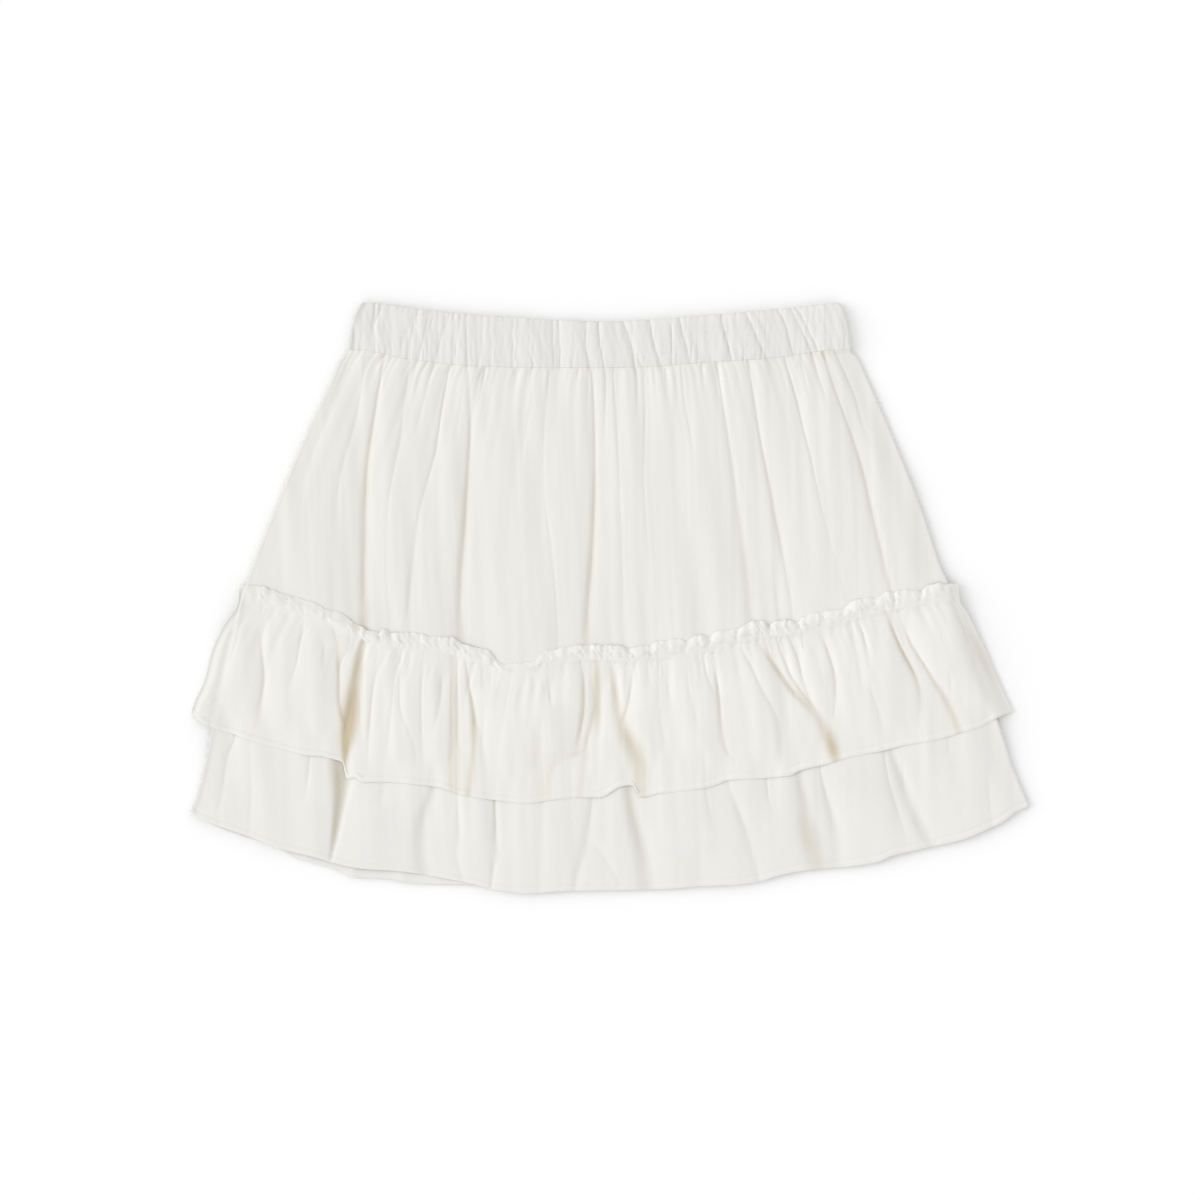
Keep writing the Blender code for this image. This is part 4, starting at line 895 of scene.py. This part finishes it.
# The heading's deep tucks, where its top edge dips: x, depth and half width.
HEADING_TUCKS = [(-205, 0.7, 1.5), (-189.7, 1.5, 1.4), (-168, 1.6, 2.2), (-146.3, 1.5, 1.3),
                 (-131, 0.6, 1.2), (-101.7, 0.8, 1.6), (-77, 1.6, 1.6), (-63, 0.7, 1.4),
                 (-44.5, 1.8, 1.5), (-29, 0.7, 1.2), (-14, 1.5, 2), (-4, 1, 1.2), (11.7, 1.6, 1.5),
                 (27, 0.8, 1.2), (50.3, 1.7, 1.4), (66.3, 1.5, 1.3), (84.3, 1.4, 1.3), (93, 0.9, 1),
                 (105, 1.7, 1.4), (114, 0.9, 1), (124.3, 1.5, 1.4), (140, 0.8, 1.4), (155, 1, 1.6),
                 (176, 0.9, 1.4), (189, 1.2, 1.5), (206, 1.5, 1.6), (222, 0.6, 1.2)]
# The least gap between the ruffle and the cloth that it lies on, how much higher its hem lies, and
# from what share of the ruffle it settles to that.
CLEAR, HEM_LIFT, HEM_SETTLES = 0.05, 0.05, 0.8
# What share of the tier's folds it feels, and over what run round the tier's seam it passes from the
# body to the tier.
FOLDS_FELT, SEAM_PASSED = 0.3, 6
# How far in from the skirt's side the ruffle is rounded off. Its height over that side and at its own
# free edge, how far that has to hang over to reach the back, and the least and the left's most run
# that it climbs over. How steeply the space under it falls beyond the skirt's side.
RUFFLE_ROUND, RUFFLE_OVER_EDGE, RUFFLE_FREE_EDGE, OVERHANG_TO_BACK = 8, 5.4, 1.1, 14
LEAST_OVERHANG, LEFT_CLIMB, FALLS_BEYOND = 3, 6, 1.2
# How much of its folds is left at the stitches, and over what run they come back from just above
# them. How much of their painted shade is left at its sides, and over what run that comes back.
FOLDS_SEWN, FOLDS_ABOVE, FOLDS_BACK, SIDE_LEFT, SIDE_BACK = 0.25, 0.6, 2.4, 0.25, 14
# How strongly painted shade darkens the tucks, how far in from the left side it reaches, and how
# strong and wide the painted shade is where the skirt's side below it ends.
TUCK_PAINTED_SHADE, RUFFLE_SHADE_REACH, SIDE_SHADE, SIDE_SHADE_WIDE = 0.9, 5, 0.55, 5.5
# The gathers at its row of stitches: those that pinch the heading too, and the fine ones below it.
RUFFLE_ENDS = (-247, 232)
PINCHED_GATHERS = [(61, 4, 0.7, 60, 0.8, 30)]
FINE_GATHERS = [(62, 2.2, 0.8, 15, 0.55, 30), (63, 4.5, 0.9, 34, 0.9, 20), (64, 9, 1, 60, 1.8, 20)]
# The heading's slanting crumples, how strong they are just below the stitches, and how far down that
# is.
CRUMPLES = [(0.75, 0.5, 2.4, 5.5, 23), (0.3, -0.8, 1.3, 3, 25)]
BELOW_CRUMPLED, BELOW_AT = 0.35, 2
# How much of the pinching gathers is left at the stitches, and of the fine ones, which come back over
# this run. Over what run below the stitches the fine gathers and the broad waves start.
PINCHED_SEWN, FINE_SEWN, FINE_BACK, FINE_START, WAVES_START = 0.4, 0.7, 4, 1.6, 9
# From what share of the way down the waves get flatter, and by how much. The same of the folds.
WAVES_FLATTER_FROM, WAVES_FLATTER, HEM_FLATTER_FROM, HEM_FLATTER = 0.8, 0.5, 0.85, 0.35
RUFFLE_FOLDS = [
    [(-246, -12, 4, 8), (-247.9, -24, 7, 9), (-252.3, -38, 8, 10), (-255, -46.6, 6, 11),
     (-257.7, -56, 0, 12)],
    [(-232.5, -8, 4, 8), (-232.3, -16.6, 8, 10), (-233, -25.3, 11, 13), (-231.7, -39.3, 13, 15),
     (-230.7, -51.3, 14, 17), (-232.3, -65.3, 14, 18), (-234.3, -75.3, 13, 19),
     (-236.7, -84.6, 12, 20), (-239.7, -95, 12, 20)],
    [(-204, -11, 4, 7), (-205, -18, 10, 8), (-207, -32, 10, 9), (-209.3, -44, 8, 10),
     (-212.3, -54, 5, 12), (-216, -64, 0, 15)],
    [(-191.6, -20, 4, 7), (-191.4, -25.3, 8, 8), (-191, -40, 7, 9), (-191, -50, 0, 10)],
    [(-186, -17, 6, 8), (-184.3, -21.3, 12, 9), (-182.3, -32, 16, 10), (-181.3, -42, 17, 11),
     (-181, -60.6, 16, 12), (-181.3, -68, 13, 13), (-179.7, -75.3, 10, 14), (-177, -84, 4, 15)],
    [(-173.7, -29, 8, 8), (-177, -37, 9, 9), (-180.3, -44, 7, 10), (-181.5, -50, 0, 10)],
    [2.6, (-163.5, -24, 22, 14), (-167, -36, 26, 24), (-169, -50, 29, 36), (-171, -64, 32, 46),
     (-173, -80, 34, 54), (-174.4, -92, 34, 46), (-176.3, -102, 33, 25), (-177, -109, 30, 15),
     (-177, -115, 0, 12)],
    [(-156, -44, 3, 10), (-157.7, -54.6, 7, 12), (-159.3, -70.4, 9, 13), (-161, -86, 9, 14),
     (-162.3, -103.7, 8, 15), (-164, -121, 8, 15)],
    [(-141, -36, 4, 8), (-143, -48, 5, 11), (-145, -60.6, 7, 15), (-147, -80, 7, 18),
     (-149, -98.6, 6, 20), (-150, -112, 0, 22)],
    [(-138.7, -34, 4, 7), (-141, -51.3, 6, 8), (-141, -72.6, 5, 10), (-135, -86, 5, 12),
     (-130.3, -103.7, 4, 16), (-129, -115, 0, 18)],
    [(-133.7, -37, 5, 7), (-135, -47, 5, 8), (-136.3, -56, 0, 9)],
    [(-125.3, -37, 6, 8), (-126, -56, 9, 10), (-126.5, -68, 10, 11), (-126, -92, 9, 12),
     (-125.3, -103.7, 7, 13), (-125, -116, 3, 14)],
    [(-120.6, -37, 7, 7), (-120.6, -48.6, 5, 8), (-120.6, -56, 0, 9)],
    [(-114.6, -36, 7, 7), (-113, -48.6, 11, 8), (-113, -58.6, 11, 9), (-114, -70.4, 9, 10),
     (-117.7, -84.6, 6, 12), (-120, -95, 0, 14)],
    [(-118.5, -108, 0, 10), (-119, -113.3, 6, 11), (-121.7, -122.6, 8, 12)],
    [2.2, (-104.5, -32, 8, 20), (-104, -60, 12, 30), (-104, -100, 15, 40), (-103.5, -132, 14, 42)],
    [(-106.3, -36, 5, 9), (-106.3, -80, 5, 10), (-106.5, -130, 4, 11)],
    [(-102.3, -40, 5, 9), (-102.3, -80, 5, 10), (-102.3, -125, 3, 11)],
    [(-96.5, -42, 6, 8), (-95.8, -47, 13, 9), (-94.6, -58.6, 18, 12), (-91.7, -73.3, 21, 15),
     (-90.5, -88.6, 22, 17), (-91.7, -104, 21, 18), (-93, -118.4, 20, 18), (-94.8, -133, 19, 18)],
    [(-84, -68, 0, 9), (-85, -78, 5, 10), (-85.7, -97, 6, 11), (-89.3, -124, 5, 12)],
    [(-86, -46, 6, 7), (-85.5, -54, 6, 8), (-84.5, -63, 0, 9)],
    [(-81, -46, 4, 7), (-80, -53, 7, 8), (-80.5, -61, 0, 9)],
    [(-75, -48, 5, 7), (-76.5, -55, 6, 8), (-78, -64, 0, 9)],
    [(-66.5, -51, 4, 9), (-69.7, -68.4, 5, 12), (-72.6, -85, 4, 14), (-75, -101, 0, 16)],
    [(-42.7, -49, 7, 8), (-42, -56, 14, 9), (-40.5, -64.6, 12, 10), (-40, -74, 0, 11)],
    [2.0, (-49, -78, 0, 40), (-49.5, -95, 9, 46), (-50, -134, 11, 50)],
    [(-20, -101, 0, 40), (-25.7, -103.5, 10, 40), (-33, -106.6, 12, 42), (-38.7, -112.6, 12, 26),
     (-41.7, -120.6, 11, 20), (-41.7, -133, 10, 19)],
    [(-20, -41.5, 10, 9), (-18.3, -56.6, 17, 12), (-18.3, -70.6, 19, 14), (-19.7, -82.6, 19, 16),
     (-21.7, -94.6, 17, 18), (-24.3, -104, 13, 20), (-26, -111, 5, 20)],
    [(-10.5, -70, 0, 14), (-12, -78, 9, 17), (-16, -94.6, 14, 20), (-18.4, -112.5, 15, 22),
     (-21, -131, 13, 22)],
    [2.2, (-9.7, -40, 12, 16), (-9.5, -48, 20, 22), (-9.2, -60, 23, 27), (-8.8, -72, 22, 27),
     (-8.3, -84, 14, 24), (-8.5, -96, 3, 20)],
    [2.0, (-1.5, -40, 8, 10), (-0.5, -45, 13, 16), (1.7, -54, 16, 24), (3, -64, 18, 28),
     (3.6, -74, 18, 36), (6.4, -83, 18, 52), (11.5, -92, 20, 60), (16, -101.8, 22, 60),
     (19.5, -112.5, 22, 54), (19.5, -122, 20, 48)],
    [(15, -45, 5, 8), (14.3, -50.6, 9, 9), (12.3, -64.6, 11, 10), (10.1, -75.3, 9, 10),
     (6.3, -85, 3, 12)],
    [(24, -43, 3, 8), (25, -52, 5, 9), (27.5, -62, 0, 10)],
    [(31.6, -43, 6, 8), (31.6, -70.6, 6, 9), (33.3, -85, 5, 10), (36.3, -102, 3, 11),
     (38, -114, 0, 12)],
    [(36.5, -50, 0, 7), (37.5, -57.7, 4, 8), (39.7, -68.4, 3, 9), (41, -75, 0, 10)],
    [(50, -45, 3, 9), (50.6, -55.3, 5, 11), (53, -68.4, 5, 13), (56.3, -80.4, 4, 16),
     (58, -92, 0, 18)],
    [(60, -98, 0, 40), (61, -108, 7, 44), (62.5, -122, 5, 44)],
    [(60, -38, 5, 8), (61.4, -43.3, 7, 10), (65.7, -57.6, 8, 13), (70.3, -66, 0, 14)],
    [(69.5, -46, 0, 9), (70.3, -54.6, 14, 11), (71.7, -68, 17, 13), (72.3, -80, 14, 16),
     (73.5, -92, 12, 20), (76.5, -102, 11, 20), (82, -109.5, 10, 18), (92, -115, 6, 15),
     (103, -117.6, 0, 13)],
    [(83, -30, 6, 8), (86.7, -33.8, 10, 10), (93.7, -46.4, 10, 14), (99.3, -60.4, 10, 19),
     (107.7, -74.4, 10, 26), (111.7, -91, 8, 32), (113, -108, 3, 34)],
    [2.2, (97.5, -28, 9, 9), (101, -34, 14, 11), (109, -46.4, 17, 15), (117, -57.6, 17, 20),
     (126, -67.3, 15, 34), (134.5, -75.4, 12, 46), (142, -83.6, 18, 42), (145.5, -91.3, 30, 40),
     (147.5, -99, 37, 38), (149, -105.5, 34, 32), (150, -110, 22, 28)],
    [(100.5, -26, 8, 7), (102, -29.3, 10, 8), (110.3, -46.4, 11, 9), (118, -56, 4, 10)],
    [(109, -25, 8, 7), (110.3, -28, 12, 8), (114.7, -40.6, 13, 9), (123, -57.6, 13, 11),
     (131.7, -68.6, 9, 17), (139, -79, 0, 22)],
    [(116.9, -24, 10, 7), (124.3, -40.6, 11, 9), (126.7, -52, 11, 10), (131.7, -66, 7, 16),
     (137, -75, 0, 20)],
    [(127.4, -25, 6, 7), (128, -38, 4, 8), (128.5, -45, 0, 9)],
    [(137.5, -21, 8, 8), (140, -25.3, 13, 9), (145, -38, 15, 10), (148.3, -50.6, 15, 11),
     (149, -63.3, 12, 12), (148.3, -74.4, 7, 13), (147.5, -84, 0, 14)],
    [(166, -15, 5, 9), (168, -26.6, 7, 12), (170.9, -43.3, 6, 13), (173, -56, 0, 16)],
    [(160, -16, 4, 9), (162, -35, 5, 14), (165, -52, 6, 18), (168, -66, 0, 22)],
    [(171, -52, 0, 16), (173, -63.3, 6, 18), (177.7, -76, 6, 22), (182, -94, 3, 26)],
    [(182, -8, 14, 9), (185, -14, 19, 10), (190.3, -29.3, 22, 12), (196, -40.6, 22, 13),
     (201.7, -50.6, 19, 14), (205, -60, 12, 18), (206, -71.3, 9, 22), (210.2, -94, 6, 26)],
    [(189.5, -8, 9, 8), (191, -11.3, 11, 9), (196, -22.6, 13, 10), (201.7, -35.3, 16, 12),
     (208.8, -45, 18, 14), (215.7, -57.6, 18, 17), (222.8, -68.6, 19, 20), (228.3, -80, 21, 23),
     (232, -91, 21, 24)],
    [(224.5, -45, 0, 10), (225, -52, 7, 12), (225.7, -63.3, 5, 13), (227, -72, 0, 14)],
    [(228, -6, 5, 7), (229.5, -12, 7, 8), (232.7, -19, 4, 9), (235, -25, 0, 10)],
    [1.8, (230.5, -9, 6, 10), (235.5, -18.3, 14, 22), (243.3, -29.3, 22, 32),
     (249.3, -40.6, 26, 38), (254.6, -52, 24, 36), (259.5, -66, 12, 28), (262, -76, 5, 24)],
]
# The ruffle's ivory is a little lighter than the body's: painted light, for the ruffle standing higher
# towards the lamp. Its darker second colour is painted shade for the floors of its folds.
painted_lighter_ivory = crinkled_viscose("viscose_crepe_light_ivory", "E6E4DF", "C5B89D")
ruffle_left, ruffle_right = side(RUFFLE_LEFT), side(RUFFLE_RIGHT)


def under_ruffle(x, y):
    """The height of the body or the lower tier, whose folds the ruffle bridges."""
    above = y - tier_seam(x)
    on_tier = tier_height(x, y, np.clip(-above / TIER_LONG, 0, 1), FOLDS_FELT)[0]
    passed = ramp(above + SEAM_PASSED / 2, SEAM_PASSED)
    return mixed(on_tier, body_height(x, y, 0)[0], passed)


def ruffle_height(x, y, v, run, up, walls, lowered):
    """The front's upper ruffle: held down at its stitches, fuller below them, frilled above them."""
    level = mixed(RUFFLE_SEWN, RUFFLE_MIDDLE, ramp(run, RUFFLE_RISE))
    level += (RUFFLE_AT_HEM - RUFFLE_MIDDLE) * ramp(v - 0.5, 0.5)
    stitch = np.cos(2 * np.pi * x / STITCH_LONG + STITCH_STRAY * wavering(x, 9, 19))
    level = level + STITCH_SWELL * stitch * close_to(run, SWELL_WIDE)
    full = HEADING_FULL * (1 + FULL_CHANGE * uneven(x, y, 14, 30, 21))
    lift = HEADING_LIFT + LIFT_CHANGE * wavering(x, 7, 29)
    level = level + full * np.sin(np.pi * up) ** 1.5 + lift * up**1.5 - HEADING_SETTLE * up**3

    own = from_sides(x, y, ruffle_left, ruffle_right)
    inner = from_sides(x, y, skirt_left, skirt_right)
    overhang = own - inner
    low_edge = mixed(RUFFLE_OVER_EDGE, RUFFLE_FREE_EDGE, ramp(overhang, OVERHANG_TO_BACK))
    climb = np.where(x < 0, np.minimum(overhang, LEFT_CLIMB), overhang)
    edge = mixed(low_edge, RUFFLE_OVER_EDGE, ramp(own, np.maximum(climb, LEAST_OVERHANG)))
    lowest = under_ruffle(x, y) + CLEAR + (walls + CLOTH_WALL) / 2
    lowest -= FALLS_BEYOND * np.maximum(-inner, 0)
    z = kept_over(mixed(edge, level - lowered, rounded(inner, RUFFLE_ROUND)), lowest, 0.2)
    at_hem = lowest + HEM_LIFT * (1 + 0.9 * wavering(x, 16, 37))
    return z + (np.minimum(z, at_hem) - z) * ramp(v - HEM_SETTLES, 1 - HEM_SETTLES) * ramp(inner, 3)


below_stitches = hemmed(62, RUFFLE_LONG, RUFFLE_HEM_TALL)[1:]
ruffle_rows = [0, 0.004, *np.linspace(0.012, STITCH_AT, 13), *mixed(STITCH_AT, 1, below_stitches)]
ruffle_lines = [(0, HEADING_TOP), (STITCH_AT, STITCH_LINE), (1, RUFFLE_HEM)]
ruffle = Panel(ruffle_lines, RUFFLE_LEFT, RUFFLE_RIGHT)
folds = Folds(RUFFLE_FOLDS, 7)
x, y, u, v = ruffle.grid(ruffle_rows, 470, folds)
lowered, shade = folds.at(x, y)
run = (v - STITCH_AT) * RUFFLE_LONG
up = np.clip(1 - v / STITCH_AT, 0, 1)
at_seam = ruffle.plan(u, STITCH_AT)[0]
tucks = sum(deep * close_to(x + 2 * uneven(0, y, 1, 5, at) - at, wide)
            for at, deep, wide in HEADING_TUCKS) * up**0.7
crumpled = rumpled(x, y, CRUMPLES)
pinched = gathered(PINCHED_GATHERS, RUFFLE_ENDS, at_seam, run) * mixed(PINCHED_SEWN, 1, up)
pinched = (pinched + crumpled * np.sin(np.pi * np.minimum(up, 0.75)) + tucks) * (up > 0)
fine = gathered(FINE_GATHERS, RUFFLE_ENDS, at_seam, run) * mixed(FINE_SEWN, 1, ramp(run, FINE_BACK))
fine += BELOW_CRUMPLED * crumpled * run / BELOW_AT * np.exp(1 - run / BELOW_AT)
flatter = 1 - WAVES_FLATTER * ramp(v - WAVES_FLATTER_FROM, 1 - WAVES_FLATTER_FROM)
fine = fine * ramp(run, FINE_START) - rumpled(x, y, WAVES, 13) * ramp(run, WAVES_START) * flatter
lowered *= 1 - HEM_FLATTER * ramp(v - HEM_FLATTER_FROM, 1 - HEM_FLATTER_FROM)
lowered = lowered * mixed(FOLDS_SEWN, 1, ramp(run + FOLDS_ABOVE, FOLDS_BACK)) + fine + pinched
walls = hem_walls(v, RUFFLE_LONG, RUFFLE_HEM_TALL) + (DOUBLE_WALL - CLOTH_WALL) * ramp(up, 0.6)
z = ruffle_height(x, y, v, run, up, walls, lowered) + hem_form(x, v, RUFFLE_LONG, RUFFLE_HEM_TALL)
z -= HEADING_ROLL * close_to(v, HEADING_ROLL_WIDE)
y += (HEADING_STRAY * wavering(x, 3.4, 17) - TUCK_DRAWN * np.clip(pinched, -1, 1)) * up
own = from_sides(x, y, ruffle_left, ruffle_right)
# Painted shade in its folds and tucks, less at its sides, and at its left side and where the skirt's
# side below it ends.
crease = painted_fold_shade(shade * (up == 0)) * mixed(SIDE_LEFT, 1, ramp(own, SIDE_BACK))
over_side = SIDE_SHADE * close_to(x - skirt_left(y), SIDE_SHADE_WIDE)
lay_cloth("ruffle_upper_front", "ruffle", (x, y, z), (u, v), walls, RUFFLE_CUT, painted_lighter_ivory,
          ["skirt_front", "ruffle_lower_front"], crease=np.maximum(crease, painted_fold_shade(TUCK_PAINTED_SHADE * tucks)),
          turned=np.maximum(painted_side_shade_at(x, y, ruffle_left, RUFFLE_SHADE_REACH), over_side))

back_ruffle_lines = [(0, BACK_HEADING), (STITCH_AT, BACK_STITCH), (1, BACK_RUFFLE_HEM)]
ruffle_back = Panel(back_ruffle_lines, RUFFLE_LEFT, RUFFLE_RIGHT)
folds = scattered_folds(7, 22, (-240, 225), (-268, 257), (-25, -70, -115), (10, 12, 12), (16, 24, 30))
folds = Folds(folds, 8)
x, y, u, v = ruffle_back.grid(ruffle_rows[::2], 260, folds)
z = BACK_MID + np.maximum(folds.at(x, y)[0] - GROOVE_TRIM, 0) * in_skirt(x, y)
lay_cloth("ruffle_upper_back", "ruffle", (x, y, z), (u, v), CLOTH_WALL, RUFFLE_CUT, painted_lighter_ivory,
          ["surface"])

# ---- Surface, light and camera ---------------------------------------------------------------------
# A matt white board under wide, soft light from the left, with the camera straight above.
BOARD_SIZE = 12.0
# How far the board lies below the cloth, so that the two don't meet.
BOARD_BELOW = 0.0002
LIGHT_FROM, LIGHT_WIDTH, LIGHT_STRENGTH, ROOM_STRENGTH = (-1.6, 0.15, 0.55), 50, 1.64, 0.905
CAMERA_AT, VIEW_WIDTH, SENSOR = (-0.007, -0.00133, 2.4), 0.8, 36.0

bm = bmesh.new()
bmesh.ops.create_grid(bm, x_segments=1, y_segments=1, size=BOARD_SIZE / 2)
bmesh.ops.translate(bm, verts=bm.verts, vec=(0, 0, -BOARD_BELOW))
board_mesh = bpy.data.meshes.new("board")
bm.to_mesh(board_mesh)
bm.free()
board = bpy.data.objects.new("board", board_mesh)
bpy.context.scene.collection.objects.link(board)
white_board = bpy.data.materials.new("matt_white_board")
white_board.use_nodes = True
board_shader = white_board.node_tree.nodes["Principled BSDF"]
board_shader.inputs["Base Color"].default_value = linear("F8F8F8")
board_shader.inputs["Roughness"].default_value = 1.0
board_shader.inputs["Specular IOR Level"].default_value = 0.0
board_mesh.materials.append(white_board)

world = bpy.data.worlds.new("studio")
world.use_nodes = True
room = world.node_tree.nodes["Background"]
room.inputs["Color"].default_value = linear("FFFFFF")
room.inputs["Strength"].default_value = ROOM_STRENGTH
bpy.context.scene.world = world

lamp = bpy.data.lights.new("wide_softbox", "SUN")
lamp.energy = LIGHT_STRENGTH
lamp.angle = math.radians(LIGHT_WIDTH)
lamp_at = bpy.data.objects.new("wide_softbox", lamp)
lamp_at.location = LIGHT_FROM
lamp_at.rotation_euler = (-lamp_at.location).to_track_quat("-Z", "Y").to_euler()
bpy.context.scene.collection.objects.link(lamp_at)

camera = bpy.data.cameras.new("camera")
camera.sensor_width = SENSOR
camera.lens = SENSOR * CAMERA_AT[2] / VIEW_WIDTH
camera_at = bpy.data.objects.new("camera", camera)
camera_at.location = CAMERA_AT
bpy.context.scene.collection.objects.link(camera_at)
bpy.context.scene.camera = camera_at
bpy.context.scene.view_settings.view_transform = "Standard"
